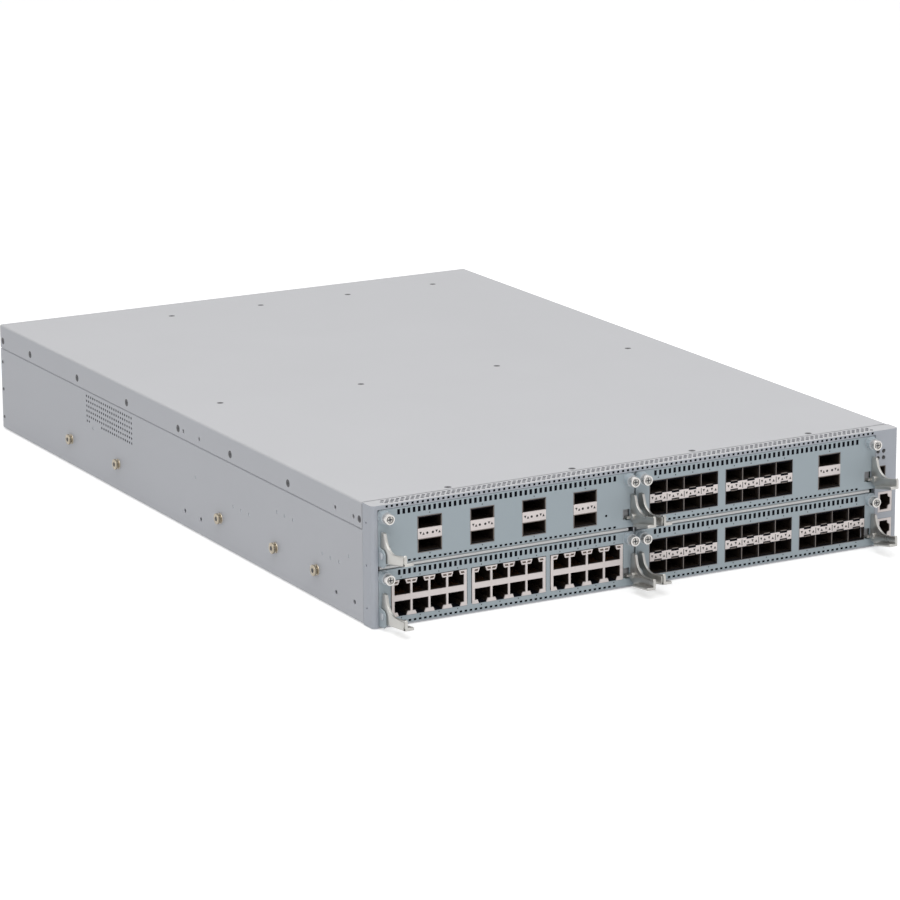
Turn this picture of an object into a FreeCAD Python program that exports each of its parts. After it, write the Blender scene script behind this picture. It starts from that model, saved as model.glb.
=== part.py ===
"""Modular chassis switch, two rack units high, built as the pieces it comes apart into.

Frame: X to the right seen from the front, Y from front to rear, Z up, in millimetres.
The origin is the centre of the chassis' flat bottom. The front face is at -DEPTH / 2.
Pieces that repeat are drawn once about a local origin and moved to each place.
"""
import FreeCAD
import Part
import math
import os

V = FreeCAD.Vector

# ---- chassis
WIDTH = 440.0            # over the side walls
DEPTH = 660.0            # front face to rear face
HEIGHT = 88.1            # two rack units less the usual gap
SHEET = 1.0              # tray, cover, shelf, divider and rear panel
PLATE = 1.2              # front frame and module carriers
FIT = 0.3                # clear space between neighbouring pieces
LAP = 0.2                # clear space where a sheet lies inside another, or a part in its window
SNUG = 0.1               # clear space at each side of a slit or a joggled sheet
SKIN = 0.4               # module pans inside the faceplate's sides
RUN = 0.1                # radial clearance of a turning fit
BEND = 1.5               # outer radius of a fold
CORNER = 3.0             # outer radius of the frame's upright corners
SKIRT = 13.7             # depth of the front frame along the sides and the top
COVER_FLANGE = 19.1      # height of the cover's side flanges
TONGUE = 10.0            # part of the tray behind the frame's skirt

# ---- front frame and module bays
BEZEL_LEFT = 4.6         # left member
CONTROL_WIDTH = 20.2     # right member, with the lights and the service sockets
BAND = 3.1               # top member
DIVIDER_GAP = 1.6        # between left and right faceplates
SHELF_GAP = 3.5          # between lower and upper faceplates
HEM_INSET = (1.0, 4.5)   # ends of the shelf's hem inside a faceplate's left and right edges
RETURN = 5.0             # inward fold at each side of the bay
STRIKE = 1.5             # thickness of the tabs that take the captive screws
STRIKE_TAB = 4.0         # tab round the captive screw's axis
SHELF_START = 4.0        # shelf's front edge between the columns' hems
SHELF_FLANGE = 9.0       # flanges down the tray's walls
HEM_REACH = 8.0          # hem's depth, front to back
CONTROL_CLEAR = 10.0     # shelf's notch behind the control column

# ---- modules
TRAY_DEPTH = 238.0       # length of a module's pan
TRAY_WALL = 14.0         # height of its sides
TRAY_RELIEF = 10.0       # sides start this far behind the face
FACE_CORNER = 2.0        # radius of a faceplate's upper corners
BOARD = 1.6              # circuit board thickness
STANDOFF = 2.5           # circuit board above the pan, on two raised ribs
RIB = 4.0                # width of a rib
VENT_PITCH = 4.05
VENT_CLEAR = 5.0         # from the captive screws' collars to the row's ends
VENT_WIDTH = 1.8
VENT_HEIGHT = 3.5
VENT_MARGIN = 1.2        # top of the vents below the top of the faceplate
VENT_LAND = 3.8          # sheet between the vents and the ports
CAGE_GAP = 0.2           # around a port block in its window
BOARD_INSET = 4.0        # circuit board's sides inside the faceplate's
WINDOW_DROP = 3.4        # claw's window below the lever's pivot
WINDOW_HEIGHT = 8.0      # claw's window
PLUG_WIDTH = 120.0       # rear connector
PLUG_HEIGHT = 10.0
PLUG_DEPTH = 8.0

# ---- captive screws
SCREW_INSET = 4.4        # axis from the faceplate's side
SCREW_DROP = 4.9         # axis below the faceplate's top
SCREW_HEAD = 4.0         # radius
SCREW_REACH = 10.0       # head's end in front of the faceplate
SCREW_SHANK = 1.5        # radius
SCREW_TAIL = 9.0         # shank's end behind the faceplate
FERRULE = 4.6            # radius of the ferrule pressed into the faceplate
FERRULE_LENGTH = 4.8
FLATS = 8                # flats of a small turned part
ROUND_FLATS = 4          # flats of a rounded corner

# ---- ejector levers
LEVER = 2.0              # sheet
LEVER_HEIGHT = 22.0      # top of the upright arm above its lowest corner
LEVER_DROP = 5.4         # lowest corner below the pivot
LEVER_REACH = 34.0       # front end of the handle ahead of the face
LEVER_HANDLE = 7.8       # depth of the handle, top to bottom
HANDLE_DROP = 0.9        # front end of the handle's underside below the pivot
LEVER_FLANGE = 6.0       # inward flange under the handle
LEVER_CLAW = 3.2         # claw that passes through the faceplate
CLAW_ROOT = 3.4          # root of the claw behind the pivot, clear of the face as it turns
CLAW_START = 2.0         # root's front end behind the pivot
CLAW_END = 2.5           # claw's end behind the face
CLAW_SPAN = (2.1, 0.3)   # claw's underside and top below the pivot
HEEL_REACH = 8.0         # lowest point of the handle's underside ahead of the face
FLANGE_START = 13.0      # folded flange's rear end ahead of the face
PIVOT_Y = -4.5           # pivot ahead of the face
PIVOT_Z = 8.7            # pivot above the bottom of the faceplate
RIVET = 1.5              # radius
RIVET_HEAD = 2.75        # radius
RIVET_RISE = 0.5
EAR = 4.3                # reach of the ear round the pivot
EAR_FOOT = 0.6           # lower edge of the ear above the bottom of the faceplate
DROOP = 5.0              # the lower left module's levers rest this far open, in degrees

# ---- ports
QSFP_WIDTH = 18.0
QSFP_HEIGHT = 8.3
QSFP_PITCH = 41.8
QSFP_DEPTH = 58.0
QSFP_EDGE = 1.1          # block over the upper port and under the lower one
SFP_WIDTH = 13.5
SFP_HEIGHT = 8.6
SFP_PITCH = 14.45
SFP_DEPTH = 48.0
SFP_EDGE = 0.8
BANK_GAP = 6.6           # between the banks of a faceplate
BANK_SHIFT = 1.5         # middle bank off the faceplate's middle
JACK_PITCH = 14.2
JACK_WIDTH = 12.4
JACK_BODY = 7.0          # main part of the opening
JACK_STEP = 0.8          # shoulders between the main part and the tab
JACK_TAB = 2.4           # tab recess
JACK_DEPTH = 34.0
JACK_EDGE = 0.8
JACK_BANK_GAP = 4.2
JACK_BANK_SHIFT = 0.5
BANKS = 3
CAGE_WALL = 0.6
JACK_MARGIN = 2.3        # plastic beside the outer sockets

# ---- control column
LAMP = 1.5               # radius of a status light
LAMP_PROUD = 0.2         # lights in front of the frame
LAMP_PITCH = 5.1
LAMP_DROP = 12.7         # upper lights below the top band
LAMP_INSET = 2.2         # first column of lights beside the bay
USB_WIDTH = 6.0
USB_HEIGHT = 13.3
USB_DEPTH = 14.0
USB_WALL = 0.4
SERVICE_WIDTH = 12.2     # service socket across the column
SERVICE_HEIGHT = 15.4
SERVICE_DEPTH = 18.0
CONTROL_DEPTH = 60.0
COLUMN_GAPS = (5.0, 5.1, 6.7, 4.9)  # under each socket and the lights, in proportion

# ---- inside
MIDPLANE = 3.0
SOCKET = 8.0             # depth of a board socket with its clearance
WINDOW = (140.0, 14.0)   # air window, width and height
CHOKE = (14.0, 9.0)      # regulator block, side and height
CHOKE_PITCH = 22.0
SPREADER = (40.0, 12.0)  # heat spreader, side and height
SPREADER_PLACE = 130.0   # its middle behind the faceplate
SPREADER_PITCH = 90.0
MAIN_BOARD_RISE = 7.0    # above the tray's floor
SINK = 90.0
SINK_HEIGHT = 40.0
SINK_BASE = 6.0
FINS = 9
FIN = 2.0

# ---- rear
REAR_RAIL = 2.5          # strip of the rear panel over its openings
PANEL_FOLD = 12.0        # depth of the rear panel's folded sides and foot
FAN_MODULES = 3
FAN_POST = 10.57         # rear panel between the fan modules
FAN_DEPTH = 56.0
FAN_RIM = 2.7            # duct over and under the bore
FAN_CHEEK = 6.0          # duct beside the bore
FAN_BLADES = 5
FAN_TIP = 0.8            # blade tips inside the bore
FAN_SHAFT = 2.0
GUARD = 3.0              # thickness of the finger guard
GUARD_BARS = 6           # slots across the guard
MOTOR = 12.0             # radius
MOTOR_DEPTH = 20.0       # motor's front face ahead of the rear face
GRIP = 18.0              # pull tab behind the rear face
PSU_WIDTH = 86.0
PSU_DEPTH = 230.0
PSU_SKIN = 1.0
PSU_FAN = 17.0
INLET_WIDTH = 27.0
INLET_HEIGHT = 20.0
INLET_DEPTH = 22.0
INLET_POCKET = 18.0      # depth of the socket
PSU_MOTOR = 12.0         # motor's front face ahead of the rear face
LATCH_PIN = 1.2
LATCH_HEIGHT = 20.0
LATCH_AXIS = 3.5         # pin behind the power supply's rear face
LATCH_BARREL = 2.4       # radius round the pin

# ---- rack fixings
STUD_NECK = 2.5
STUD_HEAD = 4.0
STUD_RISE = 3.5
STUD_HEAD_DEPTH = 1.5
STUD_HEIGHT = 21.7
STUD_PLACES = (85.0, 151.0, 243.0, 427.0, 518.0)
EAR_HOLE = 1.65
EAR_HOLE_SPAN = 27.8     # front to rear
EAR_HOLE_LOW = 12.9      # lower pair above the base
EAR_HOLE_DROP = 13.2     # upper pair below the top
EAR_HOLE_PLACE = 41.1    # middle of the pattern behind the front face

# ---- worked out
FRONT = -DEPTH / 2
REAR = DEPTH / 2
SIDE = WIDTH / 2
BAY_LEFT = -SIDE + BEZEL_LEFT
BAY_RIGHT = SIDE - CONTROL_WIDTH
BAY_TOP = HEIGHT - BAND
FLOOR = SHEET + 0.2
FACE_WIDTH = (BAY_RIGHT - BAY_LEFT - 2 * FIT - DIVIDER_GAP) / 2
FACE_HEIGHT = (BAY_TOP - FIT - FLOOR - SHELF_GAP) / 2
HALF_FACE = FACE_WIDTH / 2
ROW_PITCH = FACE_HEIGHT + SHELF_GAP
COLUMN_PITCH = FACE_WIDTH + DIVIDER_GAP
FIRST_COLUMN = BAY_LEFT + FIT + HALF_FACE
MIDDLE = FIRST_COLUMN + COLUMN_PITCH / 2
BOARD_TOP = PLATE + STANDOFF + BOARD
PORT_FLOOR = BOARD_TOP
PORT_TOP = FACE_HEIGHT - VENT_MARGIN - VENT_HEIGHT - VENT_LAND
SHELF_TOP = FLOOR + ROW_PITCH - FIT
SCREW_X = HALF_FACE - SCREW_INSET
SCREW_Z = FACE_HEIGHT - SCREW_DROP
PLUG_END = TRAY_DEPTH + PLUG_DEPTH / 2
MIDPLANE_Y = PLUG_END + SOCKET
CLAW_SIDE = HALF_FACE - PLATE - FIT - LEVER
PORT_SPAN = 2 * (CLAW_SIDE - LEVER_CLAW - FIT)
BANK_ROOM = (PORT_SPAN - 2 * BANK_SHIFT - (BANKS - 1) * BANK_GAP) / BANKS
BANK_COLUMNS = int(BANK_ROOM / SFP_PITCH)
VENT_SPAN = 2 * (SCREW_X - FERRULE - VENT_CLEAR) - VENT_WIDTH
VENT_COUNT = 1 + int(VENT_SPAN / VENT_PITCH)
MITRE = math.tan(math.radians(22.5))
MANY_FLATS = 3 * ROUND_FLATS   # flats of a larger round part, and grip flats round a head


def block(x, y, z):
    """Block between two limits on each axis."""
    return Part.makeBox(x[1] - x[0], y[1] - y[0], z[1] - z[0], V(x[0], y[0], z[0]))


def place(axis, level, a, b):
    """Point of a plane across an axis; a and b run along the other two axes in order."""
    return {"x": V(level, a, b), "y": V(a, level, b), "z": V(a, b, level)}[axis]


def rect(a0, a1, b0, b1):
    """Corners of a rectangle."""
    return [(a0, b0), (a1, b0), (a1, b1), (a0, b1)]


def polygon(sides, radius, a=0.0, b=0.0):
    """Corners of a regular polygon about a point."""
    turn = 2 * math.pi / sides
    return [(a + radius * math.cos(turn * (i + 0.5)), b + radius * math.sin(turn * (i + 0.5)))
            for i in range(sides)]


def turned(axis, low, high, a, b, radius, sides=FLATS):
    """Small round part, drawn with flats, along an axis."""
    return slab(axis, low, high, polygon(sides, radius, a, b))


def bored(radius, a, b, sides=FLATS):
    """Flat-sided hole that a round part of a radius turns in."""
    return polygon(sides, (radius + RUN) / math.cos(math.pi / sides), a, b)


def eased(before, corner, after):
    """Points of a corner; a third value is the radius that it is rounded to, in short flats."""
    if len(corner) < 3:
        return [corner]
    here = V(corner[0], corner[1], 0.0)
    back = (V(before[0], before[1], 0.0) - here).normalize()
    ahead = (V(after[0], after[1], 0.0) - here).normalize()
    half = back.getAngle(ahead) / 2
    centre = here + (back + ahead).normalize() * (corner[2] / math.sin(half))
    start = here + back * (corner[2] / math.tan(half)) - centre
    end = here + ahead * (corner[2] / math.tan(half)) - centre
    turn = math.pi - 2 * half
    points = []
    for i in range(ROUND_FLATS + 1):
        angle = turn * i / ROUND_FLATS
        arm = (start * math.sin(turn - angle) + end * math.sin(angle)) * (1 / math.sin(turn))
        points.append((centre.x + arm.x, centre.y + arm.y))
    return points


def outline(axis, level, corners):
    """Closed wire through corners."""
    points = []
    for i, corner in enumerate(corners):
        points += eased(corners[i - 1], corner, corners[(i + 1) % len(corners)])
    return Part.makePolygon([place(axis, level, a, b) for a, b in points + points[:1]])


def slab(axis, low, high, corners, holes=()):
    """Extrusion along an axis of an outline with holes."""
    normal = place(axis, 1.0, 0.0, 0.0)
    wires = [outline(axis, low, corners)]
    wires += [outline(axis, low, hole) for hole in holes]
    return Part.makeFace(wires, "Part::FaceMakerBullseye").extrude(normal * (high - low))


def join(*shapes):
    """One solid from pieces that touch."""
    return shapes[0].fuse(list(shapes[1:])).removeSplitter()


def group(shapes):
    """Separate solids kept in one node."""
    return Part.makeCompound(list(shapes))


def moved(shape, x=0.0, y=0.0, z=0.0):
    """Copy of a shape at another place."""
    copy = shape.copy()
    copy.translate(V(x, y, z))
    return copy


def flipped(shape):
    """Mirror image from left to right about the local origin."""
    return shape.mirror(V(0, 0, 0), V(1, 0, 0))


def save(name, shape):
    """Write one node."""
    shape.exportStep("parts/" + name + ".step")


# ------------------------------------------------------------------ chassis

def side_line(thickness):
    """Right half of the tray's section: outer face up, inner face down, with the joggle."""
    step = SHEET + LAP
    bend = HEIGHT - COVER_FLANGE - FIT - step
    top = HEIGHT - SHEET - LAP
    fold = thickness * MITRE
    outer = [(SIDE, 0.0, BEND), (SIDE, bend), (SIDE - step, bend + step), (SIDE - step, top)]
    inner = [(SIDE - step - thickness, top),
             (SIDE - step - thickness, bend + step - fold),
             (SIDE - thickness, bend - fold),
             (SIDE - thickness, thickness)]
    return outer + inner


def mirrored_line(line):
    """Left half of a section from its right half."""
    return [(-point[0],) + point[1:] for point in reversed(line)]


def ear_hole_rows():
    """Rack ear holes, Y and Z: the lower pair in the tray, the upper pair in the cover's flange."""
    pair = [FRONT + EAR_HOLE_PLACE + side * EAR_HOLE_SPAN / 2 for side in (-1, 1)]
    return [[(y, z) for y in pair] for z in (EAR_HOLE_LOW, HEIGHT - EAR_HOLE_DROP)]


def side_starts():
    """X at which a hole through each side wall starts."""
    return (-SIDE - SHEET, SIDE - 3 * SHEET)


def ear_holes(places):
    """Round holes through both side walls for a rack ear's screws."""
    return [Part.makeCylinder(EAR_HOLE, 4 * SHEET, V(x, y, z), V(1, 0, 0))
            for x in side_starts() for y, z in places]


def make_tray():
    """Floor and side walls folded from one sheet, stepped in under the cover and the frame."""
    start = FRONT + SKIRT + FIT
    right = side_line(SHEET)
    walls = slab("y", start, REAR, right + mirrored_line(right))
    tongue_x = SIDE - PLATE - SNUG
    tongue_top = HEIGHT - PLATE - SNUG
    tongue = [(tongue_x, 0.0), (tongue_x, tongue_top), (tongue_x - SHEET, tongue_top),
              (tongue_x - SHEET, SHEET)]
    front = start - TONGUE
    neck = slab("y", front, start + SHEET, tongue + mirrored_line(tongue))
    lip = block((BAY_LEFT + FIT, BAY_RIGHT - FIT), (FRONT, front), (0.0, SHEET))
    step_top = HEIGHT - COVER_FLANGE - FIT - 2 * (SHEET + LAP)
    steps = [block((x, x + SHEET + PLATE + SNUG), (start, start + SHEET), (SHEET, step_top))
             for x in (-SIDE, SIDE - SHEET - PLATE - SNUG)]
    (x0, x1), span = main_board_span()
    ribs = [block((x, x + RIB), span, (SHEET, SHEET + MAIN_BOARD_RISE))
            for x in (x0 + RIB, x1 - 2 * RIB)]
    tray = join(walls, neck, lip, *steps, *ribs)
    lower, upper = ear_hole_rows()
    behind_flange = [slab("x", x, x + 4 * SHEET, bored(EAR_HOLE, y, z))
                     for x in side_starts() for y, z in upper]
    return tray.cut(group(ear_holes(lower) + behind_flange))


def make_cover():
    """Top sheet folded down at both sides over the tray's stepped walls."""
    start = FRONT + SKIRT + FIT
    low = HEIGHT - COVER_FLANGE
    right = [(SIDE, low), (SIDE, HEIGHT, BEND)]
    left = [(-SIDE, HEIGHT, BEND), (-SIDE, low)]
    inside = [(-SIDE + SHEET, low), (-SIDE + SHEET, HEIGHT - SHEET),
              (SIDE - SHEET, HEIGHT - SHEET), (SIDE - SHEET, low)]
    cover = slab("y", start, REAR, right + left + inside)
    return cover.cut(group(ear_holes(ear_hole_rows()[1])))


def lamp_places():
    """Status lights, two columns of two, at the top of the control column."""
    x = BAY_RIGHT + LAMP_INSET
    z = BAY_TOP - LAMP_DROP
    return [(x + i * LAMP_PITCH, z - j * LAMP_PITCH) for i in (0, 1) for j in (0, 1)]


def column_places():
    """Lower left corners of the service sockets and the USB socket, in X and Z, going up."""
    x = BAY_RIGHT + PLATE + FIT + BOARD
    heights = (SERVICE_HEIGHT, SERVICE_HEIGHT, USB_HEIGHT)
    free = BAY_TOP - LAMP_DROP - LAMP_PITCH - LAMP + RUN - sum(heights)
    places = []
    z = 0.0
    for gap, height in zip(COLUMN_GAPS, heights):
        z += free * gap / sum(COLUMN_GAPS)
        places.append((x, z))
        z += height
    return places


def service_places():
    """Lower left corners of the management and console sockets."""
    return column_places()[:2]


def usb_place():
    """Lower left corner of the USB socket."""
    return column_places()[2]


def strike(edge, inward):
    """Two tabs behind the faceplates, with the holes that take the captive screws."""
    reach = FIT + SCREW_INSET + STRIKE_TAB
    low, high = sorted((edge, edge + inward * reach))
    axis = edge + inward * (FIT + SCREW_INSET)
    y = FRONT + PLATE + FIT
    tabs = []
    for row in (0, 1):
        z = FLOOR + row * ROW_PITCH + SCREW_Z
        tabs.append(slab("y", y, y + STRIKE, rect(low, high, z - STRIKE_TAB, z + STRIKE_TAB),
                         [bored(SCREW_SHANK, axis, z)]))
    return tabs


def make_front_frame():
    """Frame folded round the front: left member, top band and control column."""
    back = FRONT + SKIRT
    outer = slab("z", 0.0, HEIGHT, [(-SIDE, back), (-SIDE, FRONT, CORNER),
                                    (SIDE, FRONT, CORNER), (SIDE, back)])
    x = SIDE - PLATE
    y = FRONT + PLATE
    hollow = slab("z", -1.0, HEIGHT - PLATE, [(-x, back + 1), (-x, y, CORNER - PLATE),
                                              (x, y, CORNER - PLATE), (x, back + 1)])
    through = (FRONT - 1, y + 1)
    windows = [block((BAY_LEFT, BAY_RIGHT), through, (-1.0, BAY_TOP))]
    for sx, sz in service_places():
        windows.append(block((sx - LAP, sx + SERVICE_WIDTH + LAP), through,
                             (sz - LAP, sz + SERVICE_HEIGHT + LAP)))
    ux, uz = usb_place()
    windows.append(block((ux - LAP, ux + USB_WIDTH + LAP), through,
                         (uz - LAP, uz + USB_HEIGHT + LAP)))
    windows += [slab("y", *through, bored(LAMP - RUN, lx, lz)) for lx, lz in lamp_places()]
    frame = outer.cut(hollow).cut(group(windows))
    span = (SHEET + FIT, BAY_TOP)
    left = block((BAY_LEFT - PLATE, BAY_LEFT), (FRONT, FRONT + RETURN), span)
    right = block((BAY_RIGHT, BAY_RIGHT + PLATE), (FRONT + PLATE, FRONT + RETURN), span)
    return join(frame, left, right, *strike(BAY_LEFT, 1), *strike(BAY_RIGHT, -1))


def make_shelf():
    """Shelf between the rows: hemmed front edge, side flanges and a slit for the divider."""
    low = SHELF_TOP - SHEET
    wall = SIDE - SHEET - LAP
    start = FRONT + SHELF_START
    wide = FRONT + SKIRT + FIT + SHEET + FIT
    end = FRONT + MIDPLANE_Y - FIT
    clear = FRONT + CONTROL_DEPTH + CONTROL_CLEAR
    left = BAY_LEFT + LAP
    right = BAY_RIGHT - LAP
    corners = [(left, start), (right, start), (right, clear), (wall, clear), (wall, end),
               (-wall, end), (-wall, wide), (left, wide)]
    plate = slab("z", low, SHELF_TOP, corners)
    flanges = [block((-wall, -wall + SHEET), (wide, end), (low - SHELF_FLANGE, SHELF_TOP)),
               block((wall - SHEET, wall), (clear, end), (low - SHELF_FLANGE, SHELF_TOP))]
    hem = SHELF_GAP - 2 * FIT
    ease = hem * 0.3
    nose = FRONT + LAP
    section = [(nose, SHELF_TOP - ease), (nose + ease, SHELF_TOP), (nose + HEM_REACH, SHELF_TOP),
               (nose + HEM_REACH, low), (nose + SHEET, low), (nose + SHEET, SHELF_TOP - hem + SHEET),
               (nose + HEM_REACH, SHELF_TOP - hem + SHEET), (nose + HEM_REACH, SHELF_TOP - hem),
               (nose + ease, SHELF_TOP - hem), (nose, SHELF_TOP - hem + ease)]
    hems = []
    for column in (0, 1):
        x = FIRST_COLUMN + column * COLUMN_PITCH
        hems.append(slab("x", x - HALF_FACE + HEM_INSET[0], x + HALF_FACE - HEM_INSET[1], section))
    slit = block((MIDDLE - SHEET / 2 - SNUG, MIDDLE + SHEET / 2 + SNUG),
                 (FRONT + MIDPLANE_Y / 2, end + 1), (low - 1, SHELF_TOP + 1))
    return join(plate, *flanges, *hems).cut(slit)


def make_divider():
    """Upright between the columns, half-lapped with the shelf, with the middle screw tabs."""
    start = FRONT + PLATE + FIT
    end = FRONT + MIDPLANE_Y - FIT
    x = (MIDDLE - SHEET / 2, MIDDLE + SHEET / 2)
    wall = block(x, (start, end), (SHEET, HEIGHT - SHEET - LAP))
    front_notch = block((x[0] - 1, x[1] + 1), (start - 1, FRONT + SKIRT + 1),
                        (HEIGHT - PLATE - LAP, HEIGHT))
    slit = block((x[0] - 1, x[1] + 1), (start - 1, FRONT + MIDPLANE_Y / 2),
                 (SHELF_TOP - SHEET - SNUG, SHELF_TOP + SNUG))
    tabs = strike(MIDDLE + DIVIDER_GAP / 2 - FIT, 1) + strike(MIDDLE - DIVIDER_GAP / 2 + FIT, -1)
    return join(wall.cut(front_notch).cut(slit), *tabs)


def make_midplane():
    """Upright circuit board across the chassis, with air windows over and under the shelf."""
    y = FRONT + MIDPLANE_Y
    x = SIDE - SHEET - 3.0
    low = FLOOR + 3.0
    top = HEIGHT - SHEET - 3.0
    windows = []
    for column in (0, 1):
        middle = FIRST_COLUMN + column * COLUMN_PITCH
        for row in (0, 1):
            base = FLOOR + row * ROW_PITCH + BOARD_TOP + PLUG_HEIGHT + 4.0
            windows.append(rect(middle - WINDOW[0] / 2, middle + WINDOW[0] / 2,
                                base, base + WINDOW[1]))
    return slab("y", y, y + MIDPLANE, rect(-x, x, low, top), windows)


def make_midplane_sockets():
    """Board sockets on both faces of the midplane."""
    y = FRONT + MIDPLANE_Y
    sockets = []
    for column, row in ((0, 0), (1, 0), (0, 1), (1, 1)):
        x = FIRST_COLUMN + column * COLUMN_PITCH
        z = FLOOR + row * ROW_PITCH + BOARD_TOP
        sockets.append(block((x - PLUG_WIDTH / 2, x + PLUG_WIDTH / 2),
                             (FRONT + PLUG_END + FIT, y), (z, z + PLUG_HEIGHT)))
    z = SHEET + MAIN_BOARD_RISE + BOARD
    x = main_board_middle()
    sockets.append(block((x - PLUG_WIDTH / 2, x + PLUG_WIDTH / 2),
                         (y + MIDPLANE, y + MIDPLANE + 10.0), (z, z + PLUG_HEIGHT)))
    return group(sockets)


def main_board_span():
    """Limits of the main board in X and Y, beside the power supplies."""
    return (-SIDE + SHEET + 8.0, psu_left() - 14.0), \
        (FRONT + MIDPLANE_Y + MIDPLANE + FIT, REAR - FAN_DEPTH - 20.0)


def main_board_middle():
    """Middle of the main board in X."""
    return sum(main_board_span()[0]) / 2


def make_main_board():
    """Main circuit board with memory and regulator blocks standing on it."""
    (x0, x1), (y0, y1) = main_board_span()
    z = SHEET + MAIN_BOARD_RISE
    board = block((x0, x1), (y0, y1), (z, z + BOARD))
    side, height = CHOKE
    first = x0 + 20.0
    back = y1 - 26.0
    chokes = [block((first + i * CHOKE_PITCH, first + i * CHOKE_PITCH + side),
                    (back - side, back), (z + BOARD, z + BOARD + height)) for i in range(5)]
    return group([board] + chokes)


def make_heat_sinks():
    """Two finned blocks on the main board, fins along the air flow."""
    (x0, x1), (y0, y1) = main_board_span()
    z = SHEET + MAIN_BOARD_RISE + BOARD
    pitch = (SINK - FIN) / (FINS - 1)
    section = [(0.0, 0.0), (SINK, 0.0)]
    for i in range(FINS):
        right = SINK - i * pitch
        section += [(right, SINK_HEIGHT), (right - FIN, SINK_HEIGHT)]
        if i < FINS - 1:
            section += [(right - FIN, SINK_BASE), (right - pitch, SINK_BASE)]
    y = (y0 + y1 - SINK) / 2
    sink = slab("y", y, y + SINK, section)
    return group(moved(sink, x0 + (x1 - x0) * share - SINK / 2, 0.0, z) for share in (0.3, 0.7))


# ------------------------------------------------------------------ control column

def socket_opening(width, body, step, tab):
    """Eight-sided opening of a modular jack about its lower middle, tab upward."""
    half = width / 2
    return [(-half, 0.0), (half, 0.0), (half, body), (half - 2.6, body + step),
            (half - 3.4, body + step + tab), (-half + 3.4, body + step + tab),
            (-half + 2.6, body + step), (-half, body)]


def make_service_socket(index):
    """Upright modular jack, its tab toward the right side of the chassis."""
    x, z = service_places()[index]
    middle = z + SERVICE_HEIGHT / 2
    body = block((x, x + SERVICE_WIDTH), (FRONT, FRONT + SERVICE_DEPTH), (z, z + SERVICE_HEIGHT))
    opening = [(x + 1.6 + b, middle - a)
               for a, b in socket_opening(SERVICE_HEIGHT - 3.4, JACK_BODY, 0.6, 1.8)]
    return body.cut(slab("y", FRONT - 1, FRONT + SERVICE_DEPTH - 3.0, opening))


def make_usb():
    """Upright USB socket: folded shell with a contact tongue."""
    x, z = usb_place()
    shell = block((x, x + USB_WIDTH), (FRONT, FRONT + USB_DEPTH), (z, z + USB_HEIGHT))
    cavity = block((x + USB_WALL, x + USB_WIDTH - USB_WALL), (FRONT - 1, FRONT + USB_DEPTH - 1),
                   (z + USB_WALL, z + USB_HEIGHT - USB_WALL))
    tongue = block((x + 1.0, x + 2.9), (FRONT + 3.0, FRONT + USB_DEPTH),
                   (z + 1.4, z + USB_HEIGHT - 1.4))
    return join(shell.cut(cavity), tongue)


def make_control_board():
    """Upright board that carries the service sockets and the USB socket."""
    x = BAY_RIGHT + PLATE + FIT
    return block((x, x + BOARD), (FRONT + PLATE + FIT, FRONT + CONTROL_DEPTH),
                 (SHEET, BAY_TOP - 4.0))


def make_status_lights():
    """Four lamp lenses pressed into the frame."""
    return group(turned("y", FRONT - LAMP_PROUD, FRONT + PLATE, x, z, LAMP - RUN)
                 for x, z in lamp_places())


# ------------------------------------------------------------------ modules

def qsfp_centres():
    """Middles of four large ports across a faceplate."""
    return [(i - 1.5) * QSFP_PITCH for i in range(4)]


def bank_centres(pitch, shift):
    """Middles of the port banks across a faceplate."""
    return [(i - (BANKS - 1) / 2) * pitch + shift for i in range(BANKS)]


def bank_width():
    """Width of a block of small ports."""
    return BANK_COLUMNS * SFP_PITCH


def jack_bank_width():
    """Width of a block of jacks."""
    return (BANK_COLUMNS - 1) * JACK_PITCH + JACK_WIDTH + 2 * JACK_MARGIN


def stacked_cage(width, port_width, port_height, edge, depth, columns):
    """Cage block with two rows of ports, and what is left between them for the light band."""
    body = block((-width / 2, width / 2), (0.0, depth), (PORT_FLOOR, PORT_TOP))
    foot = block((-width / 2, width / 2), (PLATE + FIT, depth), (BOARD_TOP, PORT_FLOOR + CAGE_WALL))
    pitch = width / columns
    ports = []
    for column in range(columns):
        x = (column - (columns - 1) / 2) * pitch
        for z in (PORT_FLOOR + edge, PORT_TOP - edge - port_height):
            ports.append(block((x - port_width / 2, x + port_width / 2),
                               (-1.0, depth - 2.0), (z, z + port_height)))
    return join(body, foot).cut(group(ports))


def qsfp_cage():
    """Block of two large ports."""
    return stacked_cage(QSFP_WIDTH + 2 * CAGE_WALL, QSFP_WIDTH, QSFP_HEIGHT, QSFP_EDGE,
                        QSFP_DEPTH, 1)


def sfp_bank():
    """Block of eight small ports."""
    return stacked_cage(bank_width(), SFP_WIDTH, SFP_HEIGHT, SFP_EDGE, SFP_DEPTH, BANK_COLUMNS)


def jack_bank():
    """Two rows of four modular jacks: tabs up in the upper row, down in the lower row."""
    width = jack_bank_width()
    body = block((-width / 2, width / 2), (0.0, JACK_DEPTH), (PORT_FLOOR, PORT_TOP))
    foot = block((-width / 2, width / 2), (PLATE + FIT, JACK_DEPTH),
                 (BOARD_TOP, PORT_FLOOR + CAGE_WALL))
    opening = socket_opening(JACK_WIDTH, JACK_BODY, JACK_STEP, JACK_TAB)
    height = JACK_BODY + JACK_STEP + JACK_TAB
    ports = []
    for column in range(BANK_COLUMNS):
        x = (column - (BANK_COLUMNS - 1) / 2) * JACK_PITCH
        upper = [(x + a, PORT_TOP - JACK_EDGE - height + b) for a, b in opening]
        lower = [(x + a, PORT_FLOOR + JACK_EDGE + height - b) for a, b in opening]
        ports += [slab("y", -1.0, JACK_DEPTH - 10.0, points) for points in (upper, lower)]
    return join(body, foot).cut(group(ports))


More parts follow.
